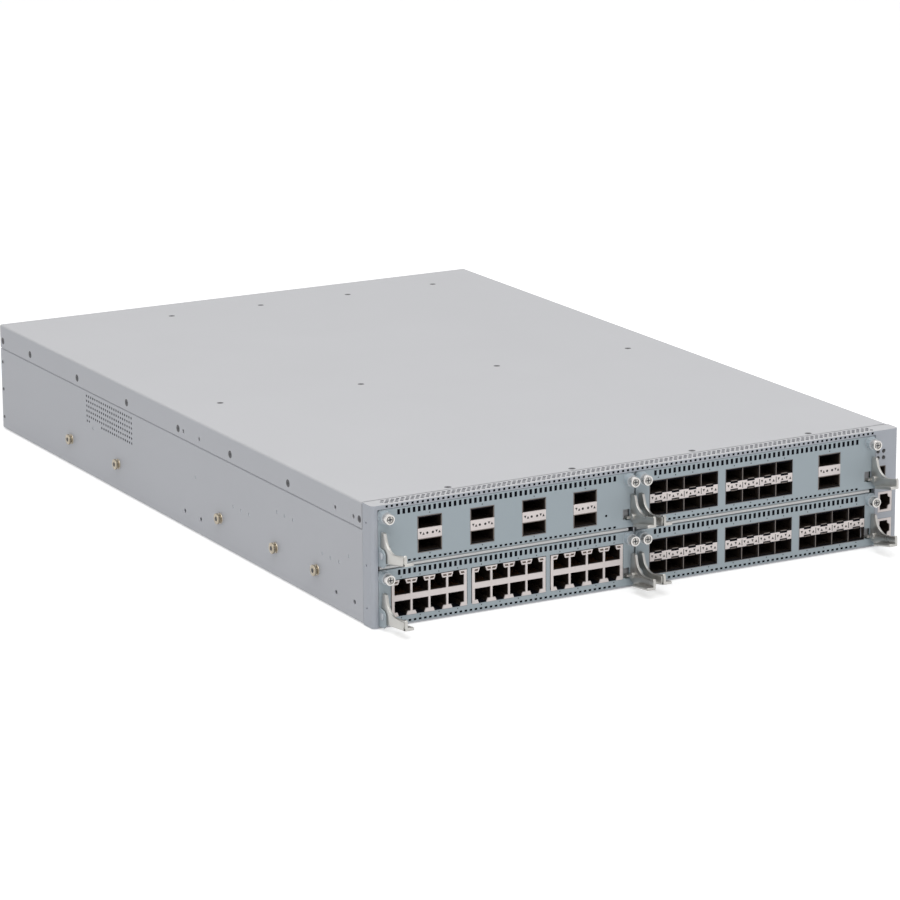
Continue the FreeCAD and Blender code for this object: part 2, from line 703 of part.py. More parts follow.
def module_ports(number):
    """Port blocks of a module as (middle, width, maker)."""
    cage = QSFP_WIDTH + 2 * CAGE_WALL
    banks = [(x, bank_width(), sfp_bank) for x in bank_centres(bank_width() + BANK_GAP, BANK_SHIFT)]
    return {1: [(x, cage, qsfp_cage) for x in qsfp_centres()],
            2: banks[:2] + [(qsfp_centres()[3], cage, qsfp_cage)],
            3: [(x, jack_bank_width(), jack_bank)
                for x in bank_centres(jack_bank_width() + JACK_BANK_GAP, JACK_BANK_SHIFT)],
            4: banks}[number]


def vent_slots():
    """Row of upright slots along the top of a faceplate."""
    top = FACE_HEIGHT - VENT_MARGIN
    slots = []
    for i in range(VENT_COUNT):
        x = (i - (VENT_COUNT - 1) / 2) * VENT_PITCH
        slots.append(rect(x - VENT_WIDTH / 2, x + VENT_WIDTH / 2, top - VENT_HEIGHT, top))
    return slots


def claw_windows():
    """Openings beside the levers that let their claws through."""
    low = PIVOT_Z - WINDOW_DROP
    inner = PORT_SPAN / 2
    return [rect(*sorted((side * CLAW_SIDE, side * inner)), low, low + WINDOW_HEIGHT)
            for side in (-1, 1)]


def lever_ear():
    """Tab folded forward from the faceplate's left edge, with the riveted pivot pin."""
    x = -HALF_FACE
    nose = PIVOT_Y - EAR
    cheek = EAR * 0.42
    ear = slab("x", x, x + PLATE, [(PLATE, EAR_FOOT), (nose + cheek, EAR_FOOT),
                                   (nose, EAR_FOOT + cheek), (nose, PIVOT_Z + cheek),
                                   (PIVOT_Y - cheek, PIVOT_Z + EAR), (PLATE, PIVOT_Z + EAR + 1.0)])
    pin = turned("x", x, x + PLATE + FIT + LEVER, PIVOT_Y, PIVOT_Z, RIVET)
    head = turned("x", x - RIVET_RISE, x, PIVOT_Y, PIVOT_Z, RIVET_HEAD)
    return join(ear, pin, head)


def ferrule():
    """Collar pressed into the faceplate round a captive screw."""
    return slab("y", -FERRULE_LENGTH, 0.0, polygon(MANY_FLATS, FERRULE, SCREW_X, SCREW_Z),
                [bored(SCREW_SHANK, SCREW_X, SCREW_Z)])


def make_carrier(number):
    """Faceplate, pan and sides of a module folded from one sheet."""
    windows = vent_slots() + claw_windows()
    for middle, width, _ in module_ports(number):
        half = width / 2 + CAGE_GAP
        windows.append(rect(middle - half, middle + half, PORT_FLOOR - CAGE_GAP, PORT_TOP + CAGE_GAP))
    windows += [bored(SCREW_SHANK, side * SCREW_X, SCREW_Z) for side in (-1, 1)]
    ease = FACE_CORNER * 0.29
    right = [(HALF_FACE, 0.0), (HALF_FACE, FACE_HEIGHT - FACE_CORNER),
             (HALF_FACE - ease, FACE_HEIGHT - ease), (HALF_FACE - FACE_CORNER, FACE_HEIGHT)]
    face = slab("y", 0.0, PLATE, right + mirrored_line(right), windows)
    inner = HALF_FACE - SKIN
    pan = block((-inner, inner), (0.0, TRAY_DEPTH), (0.0, PLATE))
    sides = [block((x, x + PLATE), (TRAY_RELIEF, TRAY_DEPTH), (0.0, TRAY_WALL))
             for x in (-inner, inner - PLATE)]
    ribs = [block((x, x + RIB), (QSFP_DEPTH + RIB, TRAY_DEPTH - RIB), (PLATE, PLATE + STANDOFF))
            for x in (-inner + 3 * RIB, inner - 4 * RIB)]
    left = [lever_ear(), flipped(ferrule())]
    right = [flipped(lever_ear()), ferrule()]
    return join(face, pan, *sides, *ribs, *left, *right)


def make_module_board():
    """Circuit board of a module with its rear connector and two heat spreaders."""
    half = HALF_FACE - BOARD_INSET
    z = PLATE + STANDOFF
    board = block((-half, half), (PLATE + FIT, TRAY_DEPTH), (z, z + BOARD))
    plug = block((-PLUG_WIDTH / 2, PLUG_WIDTH / 2), (PLUG_END - PLUG_DEPTH, PLUG_END),
                 (BOARD_TOP, BOARD_TOP + PLUG_HEIGHT))
    side, height = SPREADER
    y = (SPREADER_PLACE - side / 2, SPREADER_PLACE + side / 2)
    spreaders = [block((x - side / 2, x + side / 2), y, (BOARD_TOP, BOARD_TOP + height))
                 for x in (-SPREADER_PITCH / 2, SPREADER_PITCH / 2)]
    return group([board, plug] + spreaders)


def make_cages(number):
    """All port blocks of a module."""
    return group(moved(maker(), middle) for middle, _, maker in module_ports(number))


def lever_profile():
    """Side outline of a lever in Y and Z: upright arm, hollow curve, forward handle and heel."""
    low = PIVOT_Z - LEVER_DROP
    top = low + LEVER_HEIGHT
    handle = PIVOT_Z - HANDLE_DROP
    radius = -PIVOT_Y - FIT
    heel = [(PIVOT_Y + radius * math.cos(math.radians(angle)),
             PIVOT_Z + radius * math.sin(math.radians(angle))) for angle in (-75, -35, 0)]
    return [(-0.5, top), (-6.6, top - 0.5), (-8.6, PIVOT_Z + 5.2, 8.0),
            (1.5 - LEVER_REACH, handle + LEVER_HANDLE), (-LEVER_REACH, handle),
            (-HEEL_REACH, low)] + heel


def make_lever():
    """Left lever: L-section with a flange under the handle, a claw and a pivot bore."""
    x = -HALF_FACE + PLATE + FIT
    plate = slab("x", x, x + LEVER, lever_profile(), [bored(RIVET, PIVOT_Y, PIVOT_Z)])
    low = PIVOT_Z - LEVER_DROP
    slope = (PIVOT_Z - HANDLE_DROP - low) / (LEVER_REACH - HEEL_REACH)
    start = -FLANGE_START
    end = FIT - LEVER_REACH
    z0 = low + (-HEEL_REACH - start) * slope
    z1 = low + (-HEEL_REACH - end) * slope
    flange = slab("x", x, x + LEVER + LEVER_FLANGE,
                  [(start, z0), (start, z0 + LEVER), (end, z1 + LEVER), (end, z1)])
    z = (PIVOT_Z - CLAW_SPAN[0], PIVOT_Z - CLAW_SPAN[1])
    root = block((x, x + LEVER + LEVER_CLAW), (PIVOT_Y + CLAW_START, PIVOT_Y + CLAW_ROOT), z)
    claw = block((x + LEVER + FIT, x + LEVER + LEVER_CLAW), (PIVOT_Y + CLAW_ROOT, CLAW_END), z)
    return join(plate, flange, root, claw)


def make_screw():
    """Right captive screw: head with grip flats and a plain shank."""
    back = -FERRULE_LENGTH - FIT
    head = turned("y", -SCREW_REACH, back, SCREW_X, SCREW_Z, SCREW_HEAD, MANY_FLATS)
    shank = turned("y", back, SCREW_TAIL, SCREW_X, SCREW_Z, SCREW_SHANK)
    return join(head, shank)


def drooped(lever):
    """Lever turned a little open about its pivot."""
    copy = lever.copy()
    copy.rotate(V(0, PIVOT_Y, PIVOT_Z), V(1, 0, 0), DROOP)
    return copy


def save_module(number, column, row):
    """Write the seven nodes of one module at its place in the chassis."""
    lever = make_lever()
    if number == 3:
        lever = drooped(lever)
    screw = make_screw()
    pieces = {"carrier": make_carrier(number), "board": make_module_board(),
              "cages": make_cages(number), "lever_left": lever, "lever_right": flipped(lever),
              "screw_left": flipped(screw), "screw_right": screw}
    x = FIRST_COLUMN + column * COLUMN_PITCH
    z = FLOOR + row * ROW_PITCH
    for name, shape in pieces.items():
        save("module_%d_%s" % (number, name), moved(shape, x, FRONT, z))


# ------------------------------------------------------------------ rear

def psu_left():
    """Left side of the power supply bay."""
    return SIDE - SHEET - FIT - PSU_WIDTH - 3.0


def psu_height():
    """Height of one power supply, two of which share the rear opening's height."""
    return (HEIGHT - REAR_RAIL - 4 * SHEET - 6 * FIT) / 2


def psu_floor(row):
    """Underside of a power supply."""
    return 2 * SHEET + FIT + row * (psu_height() + SHEET + 2 * FIT)


def fan_height():
    """Height of a fan module."""
    return HEIGHT - REAR_RAIL - 3 * SHEET - 4 * FIT


def fan_start():
    """Left end of the width that the fan modules share."""
    return -SIDE + SHEET + 3.0


def fan_pitch():
    """Pitch of the fan modules, which share the width left of the power supplies."""
    return (psu_left() - 2.0 - fan_start()) / FAN_MODULES


def fan_middle(index):
    """Middle of a fan module in X."""
    return fan_start() + (index + 0.5) * fan_pitch()


def fan_width():
    """Width of a fan module."""
    return fan_pitch() - FAN_POST


def fan_bore():
    """Radius of the duct."""
    return fan_height() / 2 - FAN_RIM


def fan_offset():
    """Fan axis off the module's middle, which leaves room for the grip."""
    return fan_width() / 2 - fan_bore() - FAN_CHEEK


def make_rear_panel():
    """Rear panel with fan and power supply windows, and a folded foot."""
    x = SIDE - SHEET - LAP - SHEET - LAP
    z = (SHEET, HEIGHT - SHEET - LAP)
    low = 2 * SHEET
    half = fan_width() / 2 + FIT
    holes = [rect(fan_middle(i) - half, fan_middle(i) + half, low, low + FIT + fan_height() + FIT)
             for i in range(FAN_MODULES)]
    for row in (0, 1):
        base = psu_floor(row)
        holes.append(rect(psu_left(), psu_left() + PSU_WIDTH + 2 * FIT,
                          base - FIT, base + psu_height() + FIT))
    panel = slab("y", REAR - SHEET, REAR, rect(-x, x, *z), holes)
    y = (REAR - PANEL_FOLD, REAR)
    foot = block((-x, x), y, (SHEET, 2 * SHEET))
    cheeks = [block((a, a + SHEET), y, z) for a in (-x, x - SHEET)]
    return join(panel, foot, *cheeks)


def make_psu_bay():
    """Bench under the upper power supply, folded down to the floor at its left side."""
    x0 = psu_left() - SHEET
    x1 = SIDE - SHEET - LAP
    top = psu_floor(1) - FIT
    y = (REAR - PSU_DEPTH - 4.0, REAR - SHEET - FIT)
    fold = REAR - PANEL_FOLD - FIT
    narrow = x1 - 3 * SHEET
    shelf = slab("z", top - SHEET, top, [(x0, y[0]), (x1, y[0]), (x1, fold), (narrow, fold),
                                         (narrow, y[1]), (x0, y[1])])
    leg = block((x0, x0 + SHEET), (y[0], fold), (SHEET, top))
    foot = block((x0 - 10.0, x0 + SHEET), (y[0], fold), (SHEET, 2 * SHEET))
    return join(shelf, leg, foot)


def make_fan_housing():
    """Fan module about the fan axis, its rear face at y = 0: duct, guard and grip."""
    half = fan_height() / 2
    bore = fan_bore()
    x = (-fan_width() / 2 + fan_offset(), fan_width() / 2 + fan_offset())
    duct = slab("y", -FAN_DEPTH, -GUARD, rect(x[0], x[1], -half, half),
                [bored(bore - RUN, 0.0, 0.0, 3 * FLATS)])
    pitch = 2 * bore / GUARD_BARS
    slots = []
    for i in range(GUARD_BARS):
        z = (i + 0.5) * pitch - bore
        reach = math.sqrt(bore ** 2 - (abs(z) + pitch * 0.3) ** 2) - 1.0
        inner = MOTOR + 2.0 if abs(z) < MOTOR + pitch * 0.3 else 0.0
        limits = [(-reach, -inner), (inner, reach)] if inner else [(-reach, reach)]
        slots += [rect(a, b, z - pitch * 0.3, z + pitch * 0.3) for a, b in limits]
    guard = slab("y", -GUARD, 0.0, rect(x[0], x[1], -half, half), slots)
    motor = slab("y", -MOTOR_DEPTH, -GUARD, polygon(MANY_FLATS, MOTOR),
                 [bored(FAN_SHAFT, 0.0, 0.0)])
    grip = slab("x", x[1] - 9.0, x[1] - 5.0, [(0.0, -20.0), (GRIP, -14.0), (GRIP, 14.0),
                                              (0.0, 20.0)])
    return join(duct, guard, motor, grip)


def make_fan_rotor(bore, depth, blades, hub, motor_face):
    """Hub with pitched blades, and the shaft that turns in the motor."""
    back = motor_face - FIT
    front = back - depth
    drum = turned("y", front, back, 0.0, 0.0, hub, 2 * blades)
    axle = turned("y", back, back + 0.4 * depth, 0.0, 0.0, FAN_SHAFT)
    chord = 0.36 * depth
    tip = math.sqrt((bore - FAN_TIP) ** 2 - chord ** 2)
    blade = slab("z", hub * 0.9, tip, [(-chord, front + 1.0), (-chord + 1.6, front + 1.0),
                                       (chord, back - 1.0), (chord - 1.6, back - 1.0)])
    fins = []
    for i in range(blades):
        fin = blade.copy()
        fin.rotate(V(0, 0, 0), V(0, 1, 0), i * 360.0 / blades)
        fins.append(fin)
    return join(drum, axle, *fins)


def inlet_place():
    """Middle of the mains inlet on the rear face of a power supply, in X and Z."""
    return PSU_WIDTH / 2 - 4.0 - INLET_WIDTH / 2, psu_height() / 2


def psu_fan_place():
    """Fan axis of a power supply, in X and Z."""
    return -PSU_WIDTH / 2 + 6.0 + PSU_FAN, psu_height() / 2


def make_psu_case():
    """Power supply about the middle of its lower rear edge: shell, grille, motor and ears."""
    half = PSU_WIDTH / 2
    height = psu_height()
    shell = block((-half, half), (-PSU_DEPTH, 0.0), (0.0, height))
    hollow = block((PSU_SKIN - half, half - PSU_SKIN), (PSU_SKIN - PSU_DEPTH, -PSU_SKIN),
                   (PSU_SKIN, height - PSU_SKIN))
    fx, fz = psu_fan_place()
    pitch = 2 * PSU_FAN / GUARD_BARS
    cuts = []
    for i in range(GUARD_BARS):
        z = (i + 0.5) * pitch - PSU_FAN
        reach = math.sqrt(PSU_FAN ** 2 - (abs(z) + pitch * 0.3) ** 2)
        cuts.append(block((fx - reach, fx + reach), (-2.0, 1.0),
                          (fz + z - pitch * 0.3, fz + z + pitch * 0.3)))
    intake = [block((x - 8.0, x + 8.0), (-PSU_DEPTH - 1, -PSU_DEPTH + 2), (8.0, height - 8.0))
              for x in (-24.0, 0.0, 24.0)]
    ix, iz = inlet_place()
    window = block((ix - INLET_WIDTH / 2 - LAP, ix + INLET_WIDTH / 2 + LAP), (-3.0, 1.0),
                   (iz - INLET_HEIGHT / 2 - LAP, iz + INLET_HEIGHT / 2 + LAP))
    motor = slab("y", -PSU_MOTOR, -PSU_SKIN, rect(fx - 6.0, fx + 6.0, fz - 6.0, fz + 6.0),
                 [bored(FAN_SHAFT, fx, fz)])
    x = latch_x()
    low = height / 2 - LATCH_HEIGHT / 2
    high = height / 2 + LATCH_HEIGHT / 2
    ears = [block((x - 2.5, x + 2.5), (0.0, 6.0), (z, z + 2.0)) for z in (low - 2.0, high)]
    pin = turned("z", low - 1.0, high + 1.0, x, LATCH_AXIS, LATCH_PIN)
    case = shell.cut(hollow).cut(group(cuts + intake + [window]))
    return join(case, motor, *ears, pin)


def latch_x():
    """Pivot of the release latch, between the fan and the inlet."""
    fan_right = psu_fan_place()[0] + PSU_FAN
    inlet_left = inlet_place()[0] - INLET_WIDTH / 2
    return (fan_right + inlet_left) / 2


def make_psu_latch():
    """Release latch: barrel round the pin and a thumb tab."""
    x = latch_x()
    low = psu_height() / 2 - LATCH_HEIGHT / 2 + FIT
    high = psu_height() / 2 + LATCH_HEIGHT / 2 - FIT
    barrel = slab("z", low, high, polygon(FLATS, LATCH_BARREL, x, LATCH_AXIS),
                  [bored(LATCH_PIN, x, LATCH_AXIS)])
    tab = block((x - 0.7, x + 0.7), (5.5, 16.0), (low, high))
    return join(barrel, tab)


def make_inlet():
    """Mains inlet: moulded cup with three blades."""
    x, z = inlet_place()
    w = INLET_WIDTH / 2
    h = INLET_HEIGHT / 2
    cup = block((x - w, x + w), (-INLET_DEPTH, 0.0), (z - h, z + h))
    pocket = slab("y", -INLET_POCKET, 1.0, [(x - w + 2, z - h + 2.5), (x + w - 2, z - h + 2.5),
                                    (x + w - 2, z + h - 6.0), (x + w - 5, z + h - 2.5),
                                    (x - w + 5, z + h - 2.5), (x - w + 2, z + h - 6.0)])
    blades = [block((bx - 1.0, bx + 1.0), (-18.5, -6.0), (bz - 2.0, bz + 2.0))
              for bx, bz in ((x - 7.0, z - 1.5), (x, z + 1.8), (x + 7.0, z - 1.5))]
    return join(cup.cut(pocket), *blades)


def save_rear():
    """Write the fan modules and the power supplies."""
    for index in range(FAN_MODULES):
        x = fan_middle(index) - fan_offset()
        z = 2 * SHEET + FIT + fan_height() / 2
        save("fan_%d_housing" % (index + 1), moved(make_fan_housing(), x, REAR, z))
        rotor = make_fan_rotor(fan_bore(), 22.0, FAN_BLADES, 14.0, -MOTOR_DEPTH)
        save("fan_%d_rotor" % (index + 1), moved(rotor, x, REAR, z))
    fx, fz = psu_fan_place()
    rotor = moved(make_fan_rotor(PSU_FAN, 10.0, 5, 7.0, -PSU_MOTOR), fx, 0.0, fz)
    for row, side in enumerate(("lower", "upper")):
        x = psu_left() + FIT + PSU_WIDTH / 2
        z = psu_floor(row)
        for name, shape in (("case", make_psu_case()), ("latch", make_psu_latch()),
                            ("inlet", make_inlet()), ("rotor", rotor)):
            save("psu_%s_%s" % (side, name), moved(shape, x, REAR, z))


# ------------------------------------------------------------------ fasteners

def make_rail_studs():
    """Shoulder studs that hang the chassis on its rails, five on each side."""
    studs = []
    for y in STUD_PLACES:
        collar = SIDE + STUD_RISE - STUD_HEAD_DEPTH
        neck = turned("x", SIDE, collar, FRONT + y, STUD_HEIGHT, STUD_NECK)
        head = turned("x", collar, SIDE + STUD_RISE, FRONT + y, STUD_HEIGHT, STUD_HEAD)
        stud = join(neck, head)
        studs += [stud, flipped(stud)]
    return group(studs)


def main():
    """Write every node."""
    os.makedirs("parts", exist_ok=True)
    save("chassis_tray", make_tray())
    save("top_cover", make_cover())
    save("front_frame", make_front_frame())
    save("slot_shelf", make_shelf())
    save("slot_divider", make_divider())
    save("midplane_board", make_midplane())
    save("midplane_sockets", make_midplane_sockets())
    save("main_board", make_main_board())
    save("heat_sinks", make_heat_sinks())
    save("rear_panel", make_rear_panel())
    save("psu_bay", make_psu_bay())
    save("rail_studs", make_rail_studs())
    save("control_board", make_control_board())
    save("usb_port", make_usb())
    save("console_jack", make_service_socket(1))
    save("management_jack", make_service_socket(0))
    save("status_lights", make_status_lights())
    save_module(1, 0, 1)
    save_module(2, 1, 1)
    save_module(3, 0, 0)
    save_module(4, 1, 0)
    save_rear()


main()
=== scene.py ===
"""Looks of the modular chassis switch, laid out as an add-on with one operator for each group of pieces.

Shapes are drawn in millimetres in the frame of the CAD solids: X to the right seen from the front,
Y from the front face to the rear, Z up, with the origin at the centre of the flat underside.
"""
import math

import bmesh
import bpy
from mathutils import Matrix, Vector


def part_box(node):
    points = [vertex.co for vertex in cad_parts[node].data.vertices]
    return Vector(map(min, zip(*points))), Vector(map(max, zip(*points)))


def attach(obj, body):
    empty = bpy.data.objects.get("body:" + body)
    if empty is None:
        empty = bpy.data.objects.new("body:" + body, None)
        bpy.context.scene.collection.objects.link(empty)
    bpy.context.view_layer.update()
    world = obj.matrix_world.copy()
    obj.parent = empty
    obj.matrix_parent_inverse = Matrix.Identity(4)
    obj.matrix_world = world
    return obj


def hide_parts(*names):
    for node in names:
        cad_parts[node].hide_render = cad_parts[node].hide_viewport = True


bl_info = {
    "name": "Modular chassis switch",
    "version": (1, 0, 0),
    "blender": (4, 5, 0),
    "location": "3D View > Sidebar > Switch",
    "description": "Builds the finished pieces of a modular chassis switch round its CAD frame",
    "category": "Object",
}

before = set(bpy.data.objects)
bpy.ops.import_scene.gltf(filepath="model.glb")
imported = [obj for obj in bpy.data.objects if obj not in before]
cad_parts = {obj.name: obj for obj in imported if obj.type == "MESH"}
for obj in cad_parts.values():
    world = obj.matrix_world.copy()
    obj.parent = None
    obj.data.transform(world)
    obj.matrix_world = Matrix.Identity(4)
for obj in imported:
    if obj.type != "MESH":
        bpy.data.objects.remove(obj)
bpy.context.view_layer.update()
MM = 0.001
MODULES = (1, 2, 3, 4)
JACK_PITCH = 14.2
CONTACT_PITCH = 1.02
BOARD = 1.6
SIDES = (-1, 1)
SMOOTH_ANGLE = 35.0


def limits(node):
    """Lowest and highest corners of a CAD node, in millimetres."""
    low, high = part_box(node)
    return [v / MM for v in low], [v / MM for v in high]


FRONT = limits("front_frame")[0][1]
REAR = limits("chassis_tray")[1][1]
SIDE = limits("top_cover")[1][0]
TOP = limits("top_cover")[1][2]
COVER_FRONT = limits("top_cover")[0][1]
STUDS = limits("rail_studs")


# ------------------------------------------------------------------ modelling in millimetres

def about(middle, reach):
    """Two limits, one as far below a middle as the other is above it."""
    return (middle - reach, middle + reach)


def deep(near, far):
    """Two limits counted from the front face to the rear."""
    return (FRONT + near, FRONT + far)


def turned_to(axis):
    """Matrix that turns +Z to an axis."""
    return {"x": Matrix.Rotation(math.pi / 2, 4, "Y"), "y": Matrix.Rotation(-math.pi / 2, 4, "X"),
            "z": Matrix.Identity(4)}[axis]


def point(axis, level, a, b):
    """Point of a plane across an axis; a and b run along the other two axes in order."""
    return {"x": (level, a, b), "y": (a, level, b), "z": (a, b, level)}[axis]


class Form:
    """A closed shape being modelled, with one material index for each face."""

    def __init__(self):
        self.bm = bmesh.new()

    def own(self, verts, index, rounding):
        """Give new faces their material and ease their edges."""
        faces = {face for vert in verts for face in vert.link_faces}
        for face in faces:
            face.material_index = index
        if rounding:
            edges = list({edge for vert in verts for edge in vert.link_edges})
            bmesh.ops.bevel(self.bm, geom=edges, offset=rounding, segments=2, profile=0.5,
                            affect="EDGES", material=-1, clamp_overlap=True)

    def block(self, x, y, z, index=0, rounding=0.0):
        """Block between two limits on each axis."""
        verts = bmesh.ops.create_cube(self.bm, size=1.0)["verts"]
        size = [abs(pair[1] - pair[0]) for pair in (x, y, z)]
        middle = [(pair[0] + pair[1]) / 2 for pair in (x, y, z)]
        bmesh.ops.scale(self.bm, vec=size, verts=verts)
        bmesh.ops.translate(self.bm, vec=middle, verts=verts)
        self.own(verts, index, rounding)

    def rod(self, axis, low, high, a, b, radius, end=None, sides=24, index=0, rounding=0.0, turn=0.0):
        """Round bar or cone along an axis, about a point of the plane across it."""
        end = radius if end is None else end
        verts = bmesh.ops.create_cone(self.bm, cap_ends=True, cap_tris=False, segments=sides,
                                      radius1=radius, radius2=end, depth=high - low)["verts"]
        place = Matrix.Translation(point(axis, (low + high) / 2, a, b))
        bmesh.ops.transform(self.bm, matrix=place @ turned_to(axis) @ Matrix.Rotation(turn, 4, "Z"),
                            verts=verts)
        self.own(verts, index, rounding)

    def prism(self, axis, low, high, corners, index=0, rounding=0.0):
        """Extrusion of an outline along an axis."""
        start = [self.bm.verts.new(point(axis, low, a, b)) for a, b in corners]
        face = self.bm.faces.new(start)
        made = bmesh.ops.extrude_face_region(self.bm, geom=[face])["geom"]
        ends = [item for item in made if isinstance(item, bmesh.types.BMVert)]
        bmesh.ops.translate(self.bm, vec=point(axis, high - low, 0.0, 0.0), verts=ends)
        verts = start + ends
        bmesh.ops.recalc_face_normals(self.bm, faces=list({f for v in verts for f in v.link_faces}))
        self.own(verts, index, rounding)

    def mirrored(self, x=0.0):
        """Add the mirror image across a plane of constant X."""
        copy = bmesh.ops.duplicate(self.bm, geom=self.bm.verts[:] + self.bm.edges[:] + self.bm.faces[:])
        verts = [item for item in copy["geom"] if isinstance(item, bmesh.types.BMVert)]
        faces = [item for item in copy["geom"] if isinstance(item, bmesh.types.BMFace)]
        bmesh.ops.scale(self.bm, vec=(-1, 1, 1), space=Matrix.Translation((-x, 0, 0)), verts=verts)
        bmesh.ops.reverse_faces(self.bm, faces=faces)

    def turn(self, axis, angle, centre):
        """Turn everything about an axis through a point."""
        bmesh.ops.rotate(self.bm, cent=centre, matrix=Matrix.Rotation(angle, 3, axis.upper()),
                         verts=self.bm.verts)

    def cut(self, cutter):
        """Take another form away from this one."""
        body = loose_object("body", self.bm)
        tool = loose_object("tool", cutter.bm)
        carve = body.modifiers.new("carve", "BOOLEAN")
        carve.operation = "DIFFERENCE"
        carve.solver = "EXACT"
        carve.object = tool
        shape = body.evaluated_get(bpy.context.evaluated_depsgraph_get())
        self.bm = bmesh.new()
        self.bm.from_mesh(shape.to_mesh())
        for item in (body, tool):
            mesh = item.data
            bpy.data.objects.remove(item)
            bpy.data.meshes.remove(mesh)

    def piece(self, name, body, slot, finishes, replaces=(), flat=False):
        """Finished object, in metres, that rides on a body; a flat one keeps its plain facets."""
        bmesh.ops.scale(self.bm, vec=(MM, MM, MM), verts=self.bm.verts)
        bmesh.ops.dissolve_degenerate(self.bm, dist=1e-8, edges=self.bm.edges)
        piece = loose_object(name, self.bm)
        mesh = piece.data
        if flat:
            mesh.shade_flat()
        else:
            mesh.shade_smooth()
            mesh.set_sharp_from_angle(angle=math.radians(SMOOTH_ANGLE))
        for finish_name in finishes:
            mesh.materials.append(material(finish_name))
        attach(piece, body)
        if replaces:
            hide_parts(*replaces)
        return piece


def linked(name, data):
    """Object of the scene with some data."""
    item = bpy.data.objects.new(name, data)
    bpy.context.scene.collection.objects.link(item)
    return item


def loose_object(name, bm):
    """Object made from a bmesh, which is used up."""
    mesh = bpy.data.meshes.new(name)
    bm.to_mesh(mesh)
    bm.free()
    return linked(name, mesh)


def copied(node):
    """Form with a CAD node's own shape, its loose triangles joined."""
    form = Form()
    form.bm.from_mesh(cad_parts[node].data)
    bm = form.bm
    bmesh.ops.scale(bm, vec=(1 / MM,) * 3, verts=bm.verts)
    bmesh.ops.remove_doubles(bm, verts=bm.verts, dist=0.001)
    bmesh.ops.dissolve_limit(bm, angle_limit=math.radians(0.5), verts=bm.verts, edges=bm.edges)
    for face in bm.faces:
        face.material_index = 0
    return form


def repaint(form, index, chosen):
    """Give the faces that a test picks, by their middle and normal, another material index."""
    for face in form.bm.faces:
        if chosen(face.calc_center_median(), face.normal):
            face.material_index = index


def board_piece(name, node, body):
    """Circuit board whose parts above its own top face are black."""
    top = limits(node)[0][2] + BOARD
    board = copied(node)
    repaint(board, 1, lambda middle, normal: middle.z > top + 0.1)
    board.piece(name, body, "board_green", ["board", "black"], [node], flat=True)


def dress(node, finish_name):
    """Give a CAD node that stays visible its material."""
    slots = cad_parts[node].data.materials
    slots.clear()
    slots.append(material(finish_name))


# ------------------------------------------------------------------ materials

def linear(colour):
    """Scene-linear colour, with alpha, from the colour as it is seen."""
    return [c / 12.92 if c <= 0.04045 else ((c + 0.055) / 1.055) ** 2.4 for c in colour[:3]] + [1.0]


def add(tree, kind, settings=None, by_index=None, **inputs):
    """Shader node with its settings and inputs; an input may be a socket or a value."""
    node = tree.nodes.new(kind)
    for name, value in (settings or {}).items():
        setattr(node, name, value)
    pairs = [(node.inputs[name.replace("_", " ")], value) for name, value in inputs.items()]
    pairs += [(node.inputs[index], value) for index, value in (by_index or {}).items()]
    for socket, value in pairs:
        if isinstance(value, bpy.types.NodeSocket):
            tree.links.new(value, socket)
        else:
            socket.default_value = value
    return node


def new_group(name, inputs, outputs):
    """Empty node group with its sockets; returns the tree, the input node and the output node."""
    tree = bpy.data.node_groups.new(name, "ShaderNodeTree")
    for socket, kind, value in inputs:
        item = tree.interface.new_socket(name=socket, in_out="INPUT", socket_type="NodeSocket" + kind)
        item.default_value = value
    for socket, kind in outputs:
        tree.interface.new_socket(name=socket, in_out="OUTPUT", socket_type="NodeSocket" + kind)
    return tree, tree.nodes.new("NodeGroupInput"), tree.nodes.new("NodeGroupOutput")


SURFACE_OUTPUTS = (("Color", "Color"), ("Roughness", "Float"), ("Height", "Float"))
WHITE = (1.0, 1.0, 1.0, 1.0)


def shaded(tree, colour, value):
    """Colour made lighter or darker by a value round 1."""
    return add(tree, "ShaderNodeHueSaturation", Color=colour, Value=value).outputs["Color"]


def maths(tree, operation, a, b):
    """Result of one sum."""
    return add(tree, "ShaderNodeMath", {"operation": operation}, {0: a, 1: b}).outputs[0]


def surface_results(tree, given, result, change, rougher, height):
    """Join a surface group's results: colour and roughness, both changed a little, and height."""
    value = maths(tree, "ADD", change, 1.0)
    tree.links.new(shaded(tree, given.outputs["Color"], value), result.inputs["Color"])
    rough = maths(tree, "ADD", given.outputs["Roughness"], rougher)
    tree.links.new(rough, result.inputs["Roughness"])
    tree.links.new(height, result.inputs["Height"])
    return tree


def coat_group():
    """Powder coat or moulded grain: fine peel and a faint broad mottle."""
    tree, given, result = new_group(
        "Fine grain", (("Color", "Color", WHITE), ("Roughness", "Float", 0.5),
                       ("Grain", "Float", 900.0), ("Mottle", "Float", 0.02)), SURFACE_OUTPUTS)
    place = add(tree, "ShaderNodeTexCoord").outputs["Object"]
    fine = add(tree, "ShaderNodeTexNoise", Vector=place, Scale=given.outputs["Grain"], Detail=2.0)
    broad = add(tree, "ShaderNodeTexNoise", Vector=place, Scale=11.0, Detail=4.0)
    spread = maths(tree, "MULTIPLY", maths(tree, "SUBTRACT", broad.outputs[0], 0.5),
                   maths(tree, "MULTIPLY", given.outputs["Mottle"], 4.0))
    speck = maths(tree, "MULTIPLY", maths(tree, "SUBTRACT", fine.outputs[0], 0.5),
                  maths(tree, "MULTIPLY", given.outputs["Mottle"], 3.0))
    return surface_results(tree, given, result, maths(tree, "ADD", spread, speck),
                           maths(tree, "MULTIPLY", speck, 2.0), fine.outputs[0])


